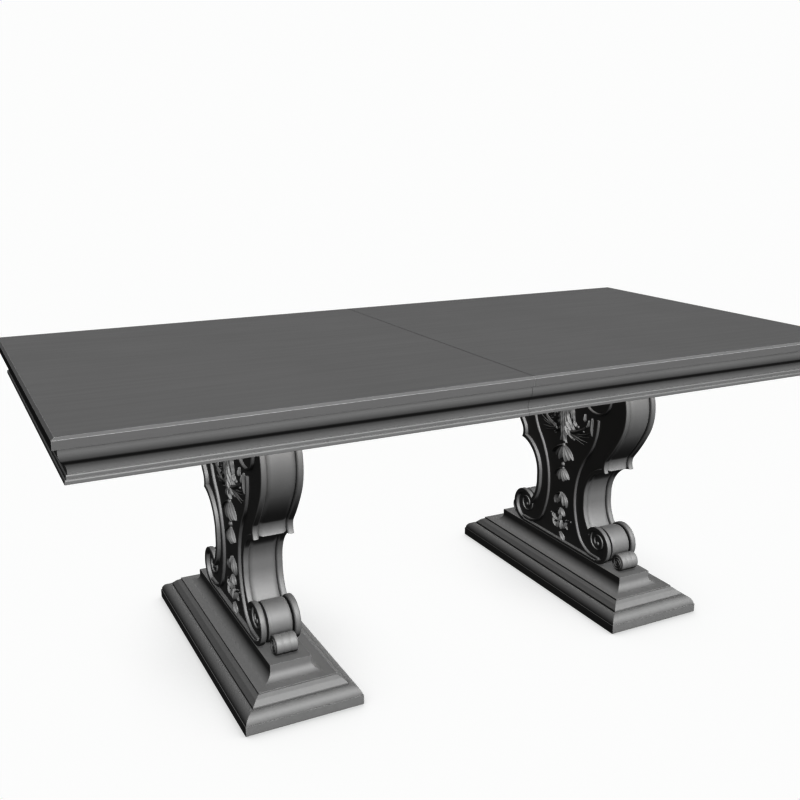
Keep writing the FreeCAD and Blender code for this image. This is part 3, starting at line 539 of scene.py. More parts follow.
def wear_group():
    """Masks of painted highlight on edges, of painted shade in hollows, tight crevices and overhangs, and
    normals that round the edges.
    """
    inputs = [("Edge Width", "NodeSocketFloat", 0.0015), ("Hollow Reach", "NodeSocketFloat", 0.03)]
    outputs = [("Edge", "NodeSocketFloat"), ("Painted Hollow Shade", "NodeSocketFloat"), ("Painted Crevice Shade", "NodeSocketFloat"),
               ("Painted Underside Shade", "NodeSocketFloat"), ("Soft Normal", "NodeSocketVector")]
    tree, start, end = new_group("edges_and_hollows", inputs, outputs)
    bevel = tree.nodes.new("ShaderNodeBevel")
    bevel.samples = mask_samples
    tree.links.new(start.outputs["Edge Width"], bevel.inputs["Radius"])
    geometry = tree.nodes.new("ShaderNodeNewGeometry")
    # Painted highlight on edges, where the rounded normal turns away from the true one
    likeness = tree.nodes.new("ShaderNodeVectorMath")
    likeness.operation = "DOT_PRODUCT"
    tree.links.new(bevel.outputs["Normal"], likeness.inputs[0])
    tree.links.new(geometry.outputs["Normal"], likeness.inputs[1])
    # Painted shade in hollows, from occlusion
    shelter = tree.nodes.new("ShaderNodeAmbientOcclusion")
    shelter.samples = mask_samples
    tree.links.new(start.outputs["Hollow Reach"], shelter.inputs["Distance"])
    hollow_shade = ramped(tree, shelter.outputs["AO"], *hollow_shade_ramp)
    edge_highlight = ramped(tree, likeness.outputs["Value"], *edge_highlight_ramp)
    open_edge_highlight = maths(tree, "MULTIPLY", edge_highlight, maths(tree, "SUBTRACT", 1.0, hollow_shade))
    # Painted shade in tight crevices, from close occlusion
    crevice_shade = tree.nodes.new("ShaderNodeAmbientOcclusion")
    crevice_shade.samples = mask_samples
    crevice_shade.inputs["Distance"].default_value = crevice_shade_reach
    tree.links.new(ramped(tree, crevice_shade.outputs["AO"], *crevice_shade_ramp), end.inputs["Painted Crevice Shade"])
    # Painted shade on sloping undersides, fading out where they face straight down
    split = tree.nodes.new("ShaderNodeSeparateXYZ")
    tree.links.new(geometry.outputs["Normal"], split.inputs[0])
    leaning = ramped(tree, split.outputs["Z"], *underside_shade_ramp)
    not_flat = ramped(tree, split.outputs["Z"], *underside_shade_fade_ramp)
    tree.links.new(maths(tree, "MULTIPLY", leaning, not_flat), end.inputs["Painted Underside Shade"])
    tree.links.new(open_edge_highlight, end.inputs["Edge"])
    tree.links.new(hollow_shade, end.inputs["Painted Hollow Shade"])
    tree.links.new(bevel.outputs["Normal"], end.inputs["Soft Normal"])
    return tree


wood_grain = grain_group()
edges_and_hollows = wear_group()


# Finishes
def new_material(name):
    """Material with one principled shader, and its tree and shader node."""
    material = bpy.data.materials.new(name)
    material.use_nodes = True
    tree = material.node_tree
    return material, tree, tree.nodes["Principled BSDF"]


def placed_group(tree, group, values):
    """Shader group put into a material with its own values."""
    node = tree.nodes.new("ShaderNodeGroup")
    node.node_tree = group
    for label, value in values.items():
        node.inputs[label].default_value = value
    return node


def finish(name, stretch, dark, light, hollow_shade_colour, edge_highlight_colour, roughness, relief,
           underside_shade_share=1.0, gloss=0.5, metallic=0.0):
    """Surface with grain, a painted highlight on edges, painted shade in hollows and crevices, and painted
    shade on overhangs that keeps a share of its dark tone.
    """
    material, tree, shader = new_material(name)
    grain = placed_group(tree, wood_grain, {"Stretch": stretch})
    wear = placed_group(tree, edges_and_hollows, {})
    body = mixed(tree, grain.outputs["Tone"], dark, light)
    # Painted shade in hollows, painted highlight on edges, painted shade in crevices and under overhangs
    hollow_shaded = mixed(tree, wear.outputs["Painted Hollow Shade"], body, hollow_shade_colour)
    edge_highlighted = mixed(tree, wear.outputs["Edge"], hollow_shaded, edge_highlight_colour)
    crevice_shade_colour = tuple(level * crevice_shade_share for level in hollow_shade_colour)
    underside_shade_colour = tuple(level * underside_shade_share for level in dark)
    crevice_shaded = mixed(tree, wear.outputs["Painted Crevice Shade"], edge_highlighted, crevice_shade_colour)
    shaded = mixed(tree, wear.outputs["Painted Underside Shade"], crevice_shaded, underside_shade_colour)
    tree.links.new(shaded, shader.inputs["Base Color"])
    tree.links.new(ramped(tree, grain.outputs["Tone"], 0.0, 1.0, *roughness), shader.inputs["Roughness"])
    bump = tree.nodes.new("ShaderNodeBump")
    bump.inputs["Strength"].default_value = grain_strength
    bump.inputs["Distance"].default_value = relief
    tree.links.new(grain.outputs["Height"], bump.inputs["Height"])
    tree.links.new(wear.outputs["Soft Normal"], bump.inputs["Normal"])
    tree.links.new(bump.outputs["Normal"], shader.inputs["Normal"])
    shader.inputs["Metallic"].default_value = metallic
    shader.inputs["Specular IOR Level"].default_value = gloss
    return material


def grey_lacquer(name, stretch, hollow_shade, edge_highlight, gloss=1.0, tone=lacquer_tone):
    """Satin grey lacquer over wood, its grain just showing, with painted shade in its hollows and a painted
    edge highlight in given greys.
    """
    greys = [(level,) * 3 for level in (tone - lacquer_grain, tone + lacquer_grain, hollow_shade, edge_highlight)]
    return finish(name, stretch, *greys, lacquer_roughness, lacquer_relief, lacquer_underside_shade, gloss)


def with_seam(material):
    """The same finish with a faint dark line on the upper side, where the two halves meet."""
    tree = material.node_tree
    colour = tree.nodes["Principled BSDF"].inputs["Base Color"]
    place = tree.nodes.new("ShaderNodeTexCoord")
    split = tree.nodes.new("ShaderNodeSeparateXYZ")
    tree.links.new(place.outputs["Object"], split.inputs[0])
    from_seam = maths(tree, "ABSOLUTE", split.outputs["X"], 0.0)
    geometry = tree.nodes.new("ShaderNodeNewGeometry")
    facing = tree.nodes.new("ShaderNodeSeparateXYZ")
    tree.links.new(geometry.outputs["True Normal"], facing.inputs[0])
    upper_side = ramped(tree, facing.outputs["Z"], *upper_side_ramp)
    line_mask = maths(tree, "MULTIPLY", ramped(tree, from_seam, seam_line, seam_line / 2), upper_side)
    tree.links.new(mixed(tree, line_mask, colour.links[0].from_socket, seam_colour), colour)
    return material


def bare_beech(name, stretch):
    """Planed and waxed hardwood of the hidden joinery."""
    return finish(name, stretch, dark=(0.31, 0.22, 0.14), light=(0.46, 0.35, 0.25),
                  hollow_shade_colour=(0.18, 0.12, 0.07), edge_highlight_colour=(0.52, 0.42, 0.31),
                  roughness=(0.48, 0.62), relief=0.0002)


# Plinths and rolls have lighter tones of the same lacquer, painted light where light falls brighter
lacquer_y = grey_lacquer("grey_lacquer_cross", along_y, hollow_shade=0.195, edge_highlight=0.25, gloss=0.55, tone=0.218)
lacquer_z = grey_lacquer("grey_lacquer_upright", along_z, hollow_shade=0.18, edge_highlight=0.23)
lacquer_roll = grey_lacquer("grey_lacquer_rolls", along_x, hollow_shade=0.2, edge_highlight=0.25, tone=0.22)
# The top is matt, with a lighter tone and a bright painted edge highlight standing in for its sheen
matt_top = grey_lacquer("grey_lacquer_top", along_x, hollow_shade=0.185, edge_highlight=0.46, gloss=0.0, tone=0.206)
lacquer_top = with_seam(matt_top)
# Mouldings carry a very dark painted shade in their hollows
moulding_x = grey_lacquer("grey_lacquer_moulding_long", along_x, hollow_shade=0.06, edge_highlight=0.29)
moulding_y = grey_lacquer("grey_lacquer_moulding_cross", along_y, hollow_shade=0.06, edge_highlight=0.29)
beech_x = bare_beech("bare_beech_long", along_x)
beech_y = bare_beech("bare_beech_cross", along_y)
zinc = finish("zinc_plated_steel", even_grain, dark=(0.50, 0.50, 0.51), light=(0.60, 0.60, 0.62),
              hollow_shade_colour=(0.2,) * 3, edge_highlight_colour=(0.75, 0.75, 0.76),
              roughness=(0.28, 0.42), relief=0.00003, metallic=1.0)
pressed_steel = finish("dull_pressed_steel", (1.0, 0.1, 1.0),
                       dark=(0.36, 0.35, 0.33), light=(0.46, 0.45, 0.43),
                       hollow_shade_colour=(0.14, 0.13, 0.12), edge_highlight_colour=(0.6, 0.59, 0.57),
                       roughness=(0.38, 0.55), relief=0.00005, metallic=1.0)
moulded_nylon = finish("moulded_nylon", even_grain, dark=(0.04,) * 3, light=(0.06,) * 3,
                       hollow_shade_colour=(0.02,) * 3, edge_highlight_colour=(0.1,) * 3,
                       roughness=(0.5, 0.65), relief=0.0001)

node_finishes = {
    "top_panel": lacquer_top,
    "front_frieze": moulding_x,
    "back_frieze": moulding_x,
    "end_frieze": moulding_y,
    "corner_blocks": beech_x,
    "bearer": beech_y,
    "bearer_screws": zinc,
    "tie_rods": zinc,
    "pedestal_core": lacquer_z,
    "face": lacquer_z,
    "crest_carving": lacquer_z,
    "drop_carving": lacquer_z,
    "toe_roll": lacquer_roll,
    "plinth_base": lacquer_y,
    "plinth_chamfer": lacquer_y,
    "plinth_cap": lacquer_y,
    "plinth_glides": moulded_nylon,
    "runner": beech_x,
    "runner_screws": zinc,
    "seam_pins": zinc,
    "latch_bases": pressed_steel,
    "latch_keepers": pressed_steel,
    "latch_lever": pressed_steel,
}


def finish_nodes():
    """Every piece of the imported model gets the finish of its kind."""
    for name, node in nodes.items():
        kind = max((k for k in node_finishes if name.endswith(k)), key=len)
        node.data.materials.clear()
        node.data.materials.append(node_finishes[kind])


# Geometry trees
def new_tree(name, sockets):
    """Empty geometry tree with one geometry in and out, and named sockets between."""
    tree = bpy.data.node_groups.new(name, "GeometryNodeTree")
    tree.interface.new_socket("Geometry", in_out="INPUT", socket_type="NodeSocketGeometry")
    for label, kind in sockets:
        tree.interface.new_socket(label, in_out="INPUT", socket_type=kind)
    tree.interface.new_socket("Geometry", in_out="OUTPUT", socket_type="NodeSocketGeometry")
    return tree, tree.nodes.new("NodeGroupInput"), tree.nodes.new("NodeGroupOutput")


def close_tree(tree, geometry, start, end):
    """Real geometry with its finish, as every tree ends."""
    realize = tree.nodes.new("GeometryNodeRealizeInstances")
    paint = tree.nodes.new("GeometryNodeSetMaterial")
    tree.links.new(geometry, realize.inputs[0])
    tree.links.new(realize.outputs[0], paint.inputs["Geometry"])
    tree.links.new(start.outputs["Finish"], paint.inputs["Material"])
    tree.links.new(paint.outputs[0], end.inputs[0])


def attribute(tree, name):
    """Number that the drawn points carry."""
    node = tree.nodes.new("GeometryNodeInputNamedAttribute")
    node.data_type = "FLOAT"
    node.inputs["Name"].default_value = name
    return node.outputs["Attribute"]


def bead_tree():
    """Bead with a rounded section along drawn lines, tapered by the points' share."""
    sockets = [("Width", "NodeSocketFloat"), ("Rise", "NodeSocketFloat"), ("Sink", "NodeSocketFloat"),
               ("Rounding", "NodeSocketFloat"), ("Finish", "NodeSocketMaterial")]
    tree, start, end = new_tree("bead_along_line", sockets)
    curve = tree.nodes.new("GeometryNodeMeshToCurve")
    upright = tree.nodes.new("GeometryNodeSetCurveNormal")
    upright.mode = "Z_UP"
    section = tree.nodes.new("GeometryNodeCurvePrimitiveQuadrilateral")
    rounded = tree.nodes.new("GeometryNodeFilletCurve")
    lifted = tree.nodes.new("GeometryNodeTransform")
    offset = tree.nodes.new("ShaderNodeCombineXYZ")
    sweep = tree.nodes.new("GeometryNodeCurveToMesh")
    height = maths(tree, "ADD", start.outputs["Rise"], start.outputs["Sink"])
    excess = maths(tree, "SUBTRACT", start.outputs["Rise"], start.outputs["Sink"])
    links = tree.links
    links.new(start.outputs["Geometry"], curve.inputs["Mesh"])
    links.new(curve.outputs["Curve"], upright.inputs["Curve"])
    links.new(maths(tree, "MULTIPLY", excess, -0.5), offset.inputs["Y"])
    links.new(start.outputs["Width"], section.inputs["Width"])
    links.new(height, section.inputs["Height"])
    links.new(section.outputs["Curve"], rounded.inputs["Curve"])
    links.new(start.outputs["Rounding"], rounded.inputs["Radius"])
    links.new(rounded.outputs["Curve"], lifted.inputs["Geometry"])
    links.new(offset.outputs["Vector"], lifted.inputs["Translation"])
    links.new(upright.outputs["Curve"], sweep.inputs["Curve"])
    links.new(lifted.outputs["Geometry"], sweep.inputs["Profile Curve"])
    links.new(attribute(tree, "share"), sweep.inputs["Scale"])
    sweep.inputs["Fill Caps"].default_value = True
    close_tree(tree, sweep.outputs["Mesh"], start, end)
    return tree


def pearl_tree():
    """Round pearl on every drawn point, as large as the point's share says."""
    sockets = [("Radius", "NodeSocketFloat"), ("Flatness", "NodeSocketFloat"),
               ("Finish", "NodeSocketMaterial")]
    tree, start, end = new_tree("pearls_on_points", sockets)
    pearl = tree.nodes.new("GeometryNodeMeshUVSphere")
    pearl.inputs["Segments"].default_value = pearl_segments
    pearl.inputs["Rings"].default_value = pearl_rings
    squat = tree.nodes.new("GeometryNodeTransform")
    shape = tree.nodes.new("ShaderNodeCombineXYZ")
    shape.inputs["X"].default_value = 1.0
    shape.inputs["Y"].default_value = 1.0
    spots = tree.nodes.new("GeometryNodeMeshToPoints")
    copies = tree.nodes.new("GeometryNodeInstanceOnPoints")
    links = tree.links
    links.new(start.outputs["Radius"], pearl.inputs["Radius"])
    links.new(start.outputs["Flatness"], shape.inputs["Z"])
    links.new(pearl.outputs["Mesh"], squat.inputs["Geometry"])
    links.new(shape.outputs["Vector"], squat.inputs["Scale"])
    links.new(start.outputs["Geometry"], spots.inputs["Mesh"])
    links.new(spots.outputs["Points"], copies.inputs["Points"])
    links.new(squat.outputs["Geometry"], copies.inputs["Instance"])
    links.new(attribute(tree, "share"), copies.inputs["Scale"])
    close_tree(tree, copies.outputs["Instances"], start, end)
    return tree


bead_along_line = bead_tree()
pearls_on_points = pearl_tree()

# Turns the drawing's plane, lying flat, into a pedestal face that looks along +X
face_plane = Matrix(((0, 0, 1, 0), (1, 0, 0, 0), (0, 1, 0, 0), (0, 0, 0, 1)))


def grown_mesh(tree, lines, shares, values, base):
    """Mesh that a tree grows on drawn lines of (y, z) points, as a face's relief at a base level."""
    mesh = bpy.data.meshes.new("drawing")
    points = [(y * MM, z * MM, 0.0) for drawn in lines for y, z in drawn]
    edges = []
    start = 0
    for drawn in lines:
        edges += [(k, k + 1) for k in range(start, start + len(drawn) - 1)]
        start += len(drawn)
    mesh.from_pydata(points, edges, [])
    share = mesh.attributes.new("share", "FLOAT", "POINT")
    share.data.foreach_set("value", [value for drawn in shares for value in drawn])
    drawing = bpy.data.objects.new("drawing", mesh)
    bpy.context.scene.collection.objects.link(drawing)
    modifier = drawing.modifiers.new("growth", "NODES")
    modifier.node_group = tree
    for item in tree.interface.items_tree:
        if item.in_out == "INPUT" and item.name in values:
            modifier[item.identifier] = values[item.name]
    graph = bpy.context.evaluated_depsgraph_get()
    grown = bpy.data.meshes.new_from_object(drawing.evaluated_get(graph))
    bpy.data.objects.remove(drawing)
    bpy.data.meshes.remove(mesh)
    grown.transform(Matrix.Translation((base * MM, 0, 0)) @ face_plane)
    return grown


def bead_values(width, rise, rounding, material):
    """Sizes and finish of a bead, for the tree that grows it."""
    sizes = {"Width": width, "Rise": rise, "Sink": bead_sink, "Rounding": rounding}
    return {label: size * MM for label, size in sizes.items()} | {"Finish": material}


def both_sides(drawn):
    """A drawn line and its mirror image across the pedestal's middle."""
    return [drawn, [(-y, z) for y, z in drawn]]


def loft(mesh, rings):
    """Skin through closed rings of points, with flat ends, added to a bmesh in metres."""
    rows = [[mesh.verts.new([c * MM for c in point]) for point in ring] for ring in rings]
    for one, two in zip(rows, rows[1:]):
        for k in range(len(one)):
            mesh.faces.new((one[k - 1], one[k], two[k], two[k - 1]))
    for row in (rows[0], rows[-1]):
        corners = [v for k, v in enumerate(row) if (v.co - row[k - 1].co).length > merge_reach]
        flat = [Vector((v.co.y, v.co.z)) / MM for v in corners]
        filled = delaunay_2d_cdt(flat, [], [list(range(len(flat)))], inside_only, cap_reach)
        for face in filled[2]:
            mesh.faces.new([corners[filled[3][k][0]] for k in face])


def tidy_mesh(mesh, name):
    """Plain mesh from a bmesh, its doubles merged and its faces turned outwards."""
    bmesh.ops.remove_doubles(mesh, verts=mesh.verts, dist=merge_reach)
    bmesh.ops.dissolve_degenerate(mesh, edges=mesh.edges, dist=merge_reach / 2)
    bmesh.ops.recalc_face_normals(mesh, faces=mesh.faces)
    made = bpy.data.meshes.new(name)
    mesh.to_mesh(made)
    mesh.free()
    return made


def joined(meshes, name):
    """One mesh out of several."""
    whole = bmesh.new()
    for mesh in meshes:
        whole.from_mesh(mesh)
        bpy.data.meshes.remove(mesh)
    made = bpy.data.meshes.new(name)
    whole.to_mesh(made)
    whole.free()
    return made


def add_piece(name, mesh, body, node, material):
    """Finished piece that rides on a body and stands for a node."""
    mesh.materials.clear()
    mesh.materials.append(material)
    mesh.polygons.foreach_set("material_index", [0] * len(mesh.polygons))
    mesh.polygons.foreach_set("use_smooth", [True] * len(mesh.polygons))
    mesh.set_sharp_from_angle(angle=math.radians(sharp_angle))
    piece = bpy.data.objects.new(name, mesh)
    bpy.context.scene.collection.objects.link(piece)
    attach(piece, body)
    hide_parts(node)


# Pedestal faces and cores
def board_section():
    """Section of a face board as (x, inset) places, from its back edge over the rim to the sunk ground."""
    section = quarter_round((core_half, back_round), (core_half + back_round, 0), False)
    section += quarter_round((face_level - rim_round, 0), (face_level, rim_round), True)
    rim_end = (face_level, rim_width - rim_round)
    section += quarter_round(rim_end, (face_level - rim_round, rim_width), False)
    wall_foot = (ground_level + ground_fillet, rim_width)
    section += quarter_round(wall_foot, (ground_level, rim_width + ground_fillet), True)
    return section


def board_mesh():
    """Face board with its rounded rim."""
    mesh = bmesh.new()
    rings = []
    for x, inset in board_section():
        rings.append(outline_ring(x, inset, inset * ledge_height / rim_width, inset))
    loft(mesh, rings)
    return tidy_mesh(mesh, "face_board")


def bead_mesh():
    """S-scrolls, head volutes and foot volutes of a face, with their eyes."""
    head_start = (crown_volute_reach * drawing_scale, bearer_underside - rim_width / 2)
    head = volute(head_start, 90, crown_volute_radius * drawing_scale, crown_volute_quarters)
    roll, roll_r = fitted_circle("roll")
    foot_start = (roll[0], roll[1] + roll_r - rim_width / 2)
    foot = volute(foot_start, 90, foot_volute_radius * drawing_scale, foot_volute_quarters)
    lines = []
    shares = []
    for path, share in ((scroll_path(), 1.0), (head, 1.0), (foot, foot_volute_bead / bead_width)):
        drawn = drawn_line(path, bead_pitch)
        lines += both_sides(drawn)
        shares += [[share] * len(drawn)] * 2
    values = bead_values(bead_width, bead_rise, bead_round, lacquer_z)
    beads = grown_mesh(bead_along_line, lines, shares, values, ground_level)
    eyes = []
    sizes = []
    volutes = ((head, bead_width, crown_eye_radius), (foot, foot_volute_bead, foot_eye_radius))
    for path, width, radius in volutes:
        end = points_along(path[-1], 1)[-1]
        eyes += both_sides([on_circle(end, radius - width / 2, path[-1][4] + 180)])
        sizes += [[radius]] * 2
    values = {"Radius": MM, "Flatness": eye_flatness, "Finish": lacquer_z}
    return [beads, grown_mesh(pearls_on_points, eyes, sizes, values, ground_level)]


def core_mesh():
    """Thick middle of a pedestal, its shoulders rolled over beside the face boards."""
    band = core_half - core_shoulder
    drop = core_inset + core_shoulder_drop
    right = soft_round((band, core_inset), (core_half, drop))
    left = [(-x, inset) for x, inset in right[::-1]]
    rings = []
    for x, inset in left + right:
        into_groove = 2 * (abs(x) - core_half + roll_groove_width) / roll_groove_width
        sink = roll_groove_depth * min(1.0, max(0.0, into_groove))
        rings.append(outline_ring(x, inset, roll_sink=sink))
    mesh = bmesh.new()
    loft(mesh, rings)
    return tidy_mesh(mesh, "pedestal_core")


# Carved leaves
def leaf_spine(root, tip, bow, share):
    """Point and direction of a leaf's bowed middle line, a share of the way from root to tip."""
    root = np.array(root)
    tip = np.array(tip)
    along = tip - root
    across = np.array((-along[1], along[0])) / np.linalg.norm(along)
    control = (root + tip) / 2 + bow * across
    place = (1 - share) ** 2 * root + 2 * share * (1 - share) * control + share ** 2 * tip
    heading = (1 - share) * (control - root) + share * (tip - control)
    return place, heading / np.linalg.norm(heading)


def leaf_half_width(share, belly, point, lobes):
    """Half width of a leaf along its length, as a share of its widest: root, full belly, then its tip."""
    scallop = 1 - lobe_depth * (0.5 - 0.5 * math.cos(2 * math.pi * lobes * share))
    if share < belly:
        swell = math.sin(math.pi / 2 * share / belly)
        return scallop * (leaf_root_width + (1 - leaf_root_width) * swell)
    return scallop * math.cos(math.pi / 2 * (share - belly) / (1 - belly)) ** point


def leaf_rise(share, across):
    """Height of a leaf, as a share of its full rise: a keel between two flutes, sloping off."""
    back = leaf_end_rise + (1 - leaf_end_rise) * math.sin(math.pi * share ** leaf_crest_lean)
    slope = 1 - leaf_edge_fall * abs(across) ** leaf_edge_curve
    flute = flute_depth * math.sin(math.pi * across) ** 2
    return back * slope * (1 - flute)


def add_leaf(mesh, root, tip, half_width, rise, bow, belly, point, lobed):
    """Closed carved leaf on the ground of a face, added to a bmesh in metres."""
    root = spot(*root)
    tip = spot(*tip)
    length = math.dist(root, tip)
    leaf_rows = leaf_least_rows + round(length / leaf_row_pitch)
    lobes = round(length / lobe_pitch) if lobed else 0
    tops = []
    feet = []
    for i in range(leaf_rows):
        share = i / (leaf_rows - 1)
        place, heading = leaf_spine(root, tip, bow, share)
        reach = half_width * leaf_half_width(share, belly, point, lobes)
        for j in range(leaf_columns):
            across = 2 * j / (leaf_columns - 1) - 1
            y = place[0] - heading[1] * reach * across
            z = place[1] + heading[0] * reach * across
            tops.append((ground_level + rise * leaf_rise(share, across), y, z))
            feet.append((ground_level - leaf_skirt, y, z))
    upper = [mesh.verts.new([c * MM for c in point]) for point in tops]
    lower = [mesh.verts.new([c * MM for c in point]) for point in feet]
    last = leaf_columns - 1
    for i in range(leaf_rows - 1):
        row = i * leaf_columns
        for j in range(last):
            corners = (row + j, row + j + 1, row + leaf_columns + j + 1, row + leaf_columns + j)
            mesh.faces.new([upper[k] for k in corners])
            mesh.faces.new([lower[k] for k in corners[::-1]])
        for a, b in ((row, row + leaf_columns), (row + leaf_columns + last, row + last)):
            mesh.faces.new((upper[a], upper[b], lower[b], lower[a]))
    end = (leaf_rows - 1) * leaf_columns
    for j in range(last):
        mesh.faces.new((upper[j + 1], upper[j], lower[j], lower[j + 1]))
        mesh.faces.new((upper[end + j], upper[end + j + 1], lower[end + j + 1], lower[end + j]))


def leaves_mesh(leaves, belly=leaf_belly, point=leaf_point, lobed=False):
    """Carved leaves, each one off the middle with its mirror image; the belly is where they are widest."""
    shells = []
    for root, tip, half_width, rise, bow in leaves:
        for side in (1, -1)[:1 if root[0] == 0 else 2]:
            mesh = bmesh.new()
            ends = ((side * root[0], root[1]), (side * tip[0], tip[1]))
            add_leaf(mesh, *ends, half_width, rise, side * bow, belly, point, lobed)
            shells.append(tidy_mesh(mesh, "leaf"))
    return joined(shells, "leaves")


def husk_leaves(top, length, half_width):
    """Leaves of a hanging bellflower: three petals on each side, the outer ones flaring."""
    leaves = []
    for root, below, reach, width, bow, lift, rise in husk_petals:
        tip = (half_width * reach, top - length + length * lift)
        leaves.append(((root, top - below), tip, half_width * width, rise, half_width * bow))
    return tuple(leaves)


def pearls_mesh(places):
    """Pearls half sunk in the ground of a face, mirrored where they lie off the middle."""
    spots = []
    sizes = []
    for y, height, radius in places:
        twins = both_sides([spot(y, height)])[:1 if y == 0 else 2]
        spots += twins
        sizes += [[radius]] * len(twins)
    values = {"Radius": MM, "Flatness": pearl_flatness, "Finish": lacquer_z}
    return grown_mesh(pearls_on_points, spots, sizes, values, ground_level)


def fronds_mesh():
    """Thin tapering fronds that sweep out from the crest."""
    lines = []
    shares = []
    for root, tip, bow, width in crest_fronds:
        steps = [k / (frond_points - 1) for k in range(frond_points)]
        drawn = [tuple(leaf_spine(spot(*root), spot(*tip), -bow, share)[0]) for share in steps]
        lines += both_sides(drawn)
        shares += [[width * (1 - frond_taper * share ** 2) for share in steps]] * 2
    values = bead_values(frond_width, frond_rise, frond_round, lacquer_z)
    return grown_mesh(bead_along_line, lines, shares, values, ground_level)


def crest_mesh():
    """Acanthus spray at the head of a face, with its fronds, berries and spikes."""
    spikes = leaves_mesh(spike_leaves, spike_belly, spike_point)
    acanthus = leaves_mesh(crest_leaves, lobed=True)
    return joined([acanthus, spikes, fronds_mesh(), pearls_mesh(berries)], "crest_carving")


def drop_mesh():
    """Bellflowers, bud, flower and tail leaf that hang down the middle of a face."""
    leaves = bud_leaves + flower_leaves + tail_leaves
    for sizes in husks:
        leaves += husk_leaves(*sizes)
    return joined([leaves_mesh(leaves), pearls_mesh(pearls)], "drop_carving")


# Toe rolls
def toe_mesh(node):
    """Reeded roll with a raised spiral on both ends, in a node's place."""
    low, high = [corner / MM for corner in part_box(node)]
    middle = (low + high) / 2
    radius = (high.z - low.z) / 2
    half = (high.x - low.x) / 2 - toe_spiral_rise
    rings = []
    for k in range(toe_columns):
        x = half * (2 * k / (toe_columns - 1) - 1)
        within = (x + half) / (2 * half) * toe_reeds % 1
        reach = radius - toe_relief * abs(2 * within - 1) ** toe_reed_sharpness
        to_end = half - abs(x)
        if to_end < toe_edge_round:
            reach -= toe_edge_round - math.sqrt(toe_edge_round ** 2 - (toe_edge_round - to_end) ** 2)
        ring = [on_circle((middle.y, middle.z), reach, 360 * s / toe_spokes) for s in range(toe_spokes)]
        rings.append([(middle.x + x, y, z) for y, z in ring])
    mesh = bmesh.new()
    loft(mesh, rings)
    parts = [tidy_mesh(mesh, "roll")]
    outward = 1 if middle.y > 0 else -1
    steps = int(360 * toe_spiral_turns / toe_spiral_step)
    spiral = []
    for k in range(steps + 1):
        reach = toe_spiral_start + (toe_spiral_end - toe_spiral_start) * k / steps
        heading = toe_spiral_heading + 360 * toe_spiral_turns * k / steps
        y, z = on_circle((0, middle.z), reach, heading)
        spiral.append((middle.y + outward * y, z))
    values = bead_values(toe_spiral_bead, toe_spiral_rise, toe_spiral_round, lacquer_roll)
    for end in (1, -1):
        curl = grown_mesh(bead_along_line, [spiral], [[1.0] * len(spiral)], values, half)
        curl.transform(Matrix.Translation((middle.x * MM, 0, 0)) @ Matrix.Diagonal((end, 1, 1, 1)))
        if end < 0:
            curl.flip_normals()
        parts.append(curl)
    return joined(parts, "toe_roll")


# Stage, lights and camera
def make_stage():
    """Pale floor that shows a faint shadow and throws little light back."""
    mesh = bpy.data.meshes.new("floor")
    corners = [(x * floor_reach, y * floor_reach, 0) for x, y in ((-1, -1), (1, -1), (1, 1), (-1, 1))]
    mesh.from_pydata(corners, [], [(0, 1, 2, 3)])
    floor = bpy.data.objects.new("floor", mesh)
    bpy.context.scene.collection.objects.link(floor)
    material, tree, shader = new_material("pale_floor")
    rays = tree.nodes.new("ShaderNodeLightPath")
    seen = tree.nodes.new("ShaderNodeEmission")
    dull = tree.nodes.new("ShaderNodeBsdfDiffuse")
    dull.inputs["Color"].default_value = (floor_bounce,) * 3 + (1,)
    pick = tree.nodes.new("ShaderNodeMixShader")
    contact = tree.nodes.new("ShaderNodeAmbientOcclusion")
    contact.inputs["Distance"].default_value = floor_shadow_reach
    shade = ramped(tree, contact.outputs["AO"], *floor_shadow_ramp, floor_shadow_level, backdrop_level)
    tree.links.new(shade, seen.inputs["Strength"])
    tree.links.new(rays.outputs["Is Camera Ray"], pick.inputs[0])
    tree.links.new(dull.outputs[0], pick.inputs[1])
    tree.links.new(seen.outputs[0], pick.inputs[2])
    tree.links.new(pick.outputs[0], tree.nodes["Material Output"].inputs["Surface"])
    tree.nodes.remove(shader)
    mesh.materials.append(material)


def make_world():
    """White backdrop with a dim, even fill."""
    world = bpy.data.worlds.new("studio")
    bpy.context.scene.world = world
    world.use_nodes = True
    tree = world.node_tree
    fill = tree.nodes["Background"]
    fill.inputs["Strength"].default_value = fill_level
    fill.inputs["Color"].default_value = (1, 1, 1, 1)
    white = tree.nodes.new("ShaderNodeBackground")
    white.inputs["Color"].default_value = (1, 1, 1, 1)
    white.inputs["Strength"].default_value = backdrop_level
    rays = tree.nodes.new("ShaderNodeLightPath")
    pick = tree.nodes.new("ShaderNodeMixShader")
    tree.links.new(rays.outputs["Is Camera Ray"], pick.inputs[0])
    tree.links.new(fill.outputs[0], pick.inputs[1])
    tree.links.new(white.outputs[0], pick.inputs[2])
    tree.links.new(pick.outputs[0], tree.nodes["World Output"].inputs["Surface"])


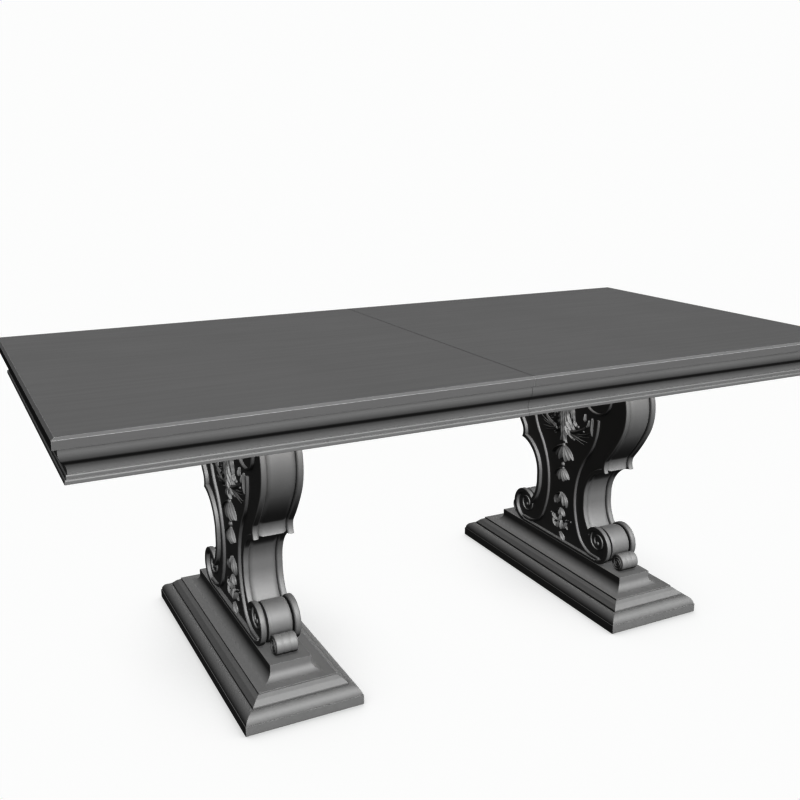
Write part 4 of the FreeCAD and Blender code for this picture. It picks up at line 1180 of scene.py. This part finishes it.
def add_light(name, azimuth, elevation, softness, power, in_gloss):
    """Far soft light from a direction, which throws no shadow."""
    lamp = bpy.data.lights.new(name, "SUN")
    lamp.angle = math.radians(softness)
    lamp.energy = power
    lamp.use_shadow = False
    light = bpy.data.objects.new(name, lamp)
    bpy.context.scene.collection.objects.link(light)
    light.rotation_euler = (math.radians(90 - elevation), 0, math.radians(-azimuth))
    light.visible_glossy = in_gloss


def make_camera():
    """Camera at the photograph's place and angle."""
    data = bpy.data.cameras.new("camera")
    data.lens = camera_lens
    data.sensor_width = camera_sensor
    camera = bpy.data.objects.new("camera", data)
    bpy.context.scene.collection.objects.link(camera)
    camera.location = camera_place
    camera.rotation_euler = (math.radians(90 - camera_elevation), 0, math.radians(camera_azimuth))
    bpy.context.scene.camera = camera


def dress_pedestals():
    """Carved faces and cores of both pedestals."""
    face = joined([board_mesh()] + bead_mesh(), "carved_face")
    core = core_mesh()
    crest = crest_mesh()
    drop = drop_mesh()
    for half, side in (("left", -1), ("right", 1)):
        place = Matrix.Translation((side * abs(pedestal_reach) * MM, 0, 0))
        body = half + "_half"
        made = core.copy()
        made.transform(place)
        add_piece(half + "_pedestal_middle", made, body, half + "_pedestal_core", lacquer_z)
        for label, turned in (("outer", side < 0), ("inner", side > 0)):
            turn = place @ Matrix.Rotation(math.pi if turned else 0.0, 4, "Z")
            made = face.copy()
            made.transform(turn)
            node = half + "_pedestal_" + label + "_face"
            add_piece(half + "_" + label + "_carved_face", made, body, node, lacquer_z)
            for carving, source in (("crest", crest), ("drop", drop)):
                made = source.copy()
                made.transform(turn)
                node = half + "_pedestal_" + label + "_" + carving + "_carving"
                add_piece(half + "_" + label + "_" + carving + "_leaves", made, body, node, lacquer_z)
        for place_name in ("front", "back"):
            node = half + "_" + place_name + "_toe_roll"
            add_piece(half + "_" + place_name + "_scroll_roll", toe_mesh(node), body, node, lacquer_roll)
    for mesh in (face, core, crest, drop):
        bpy.data.meshes.remove(mesh)


# Tones of the photograph, which rise in step with the light
bpy.context.scene.view_settings.view_transform = "Raw"
finish_nodes()
dress_pedestals()
make_stage()
make_world()
for light_values in lights:
    add_light(*light_values)
make_camera()
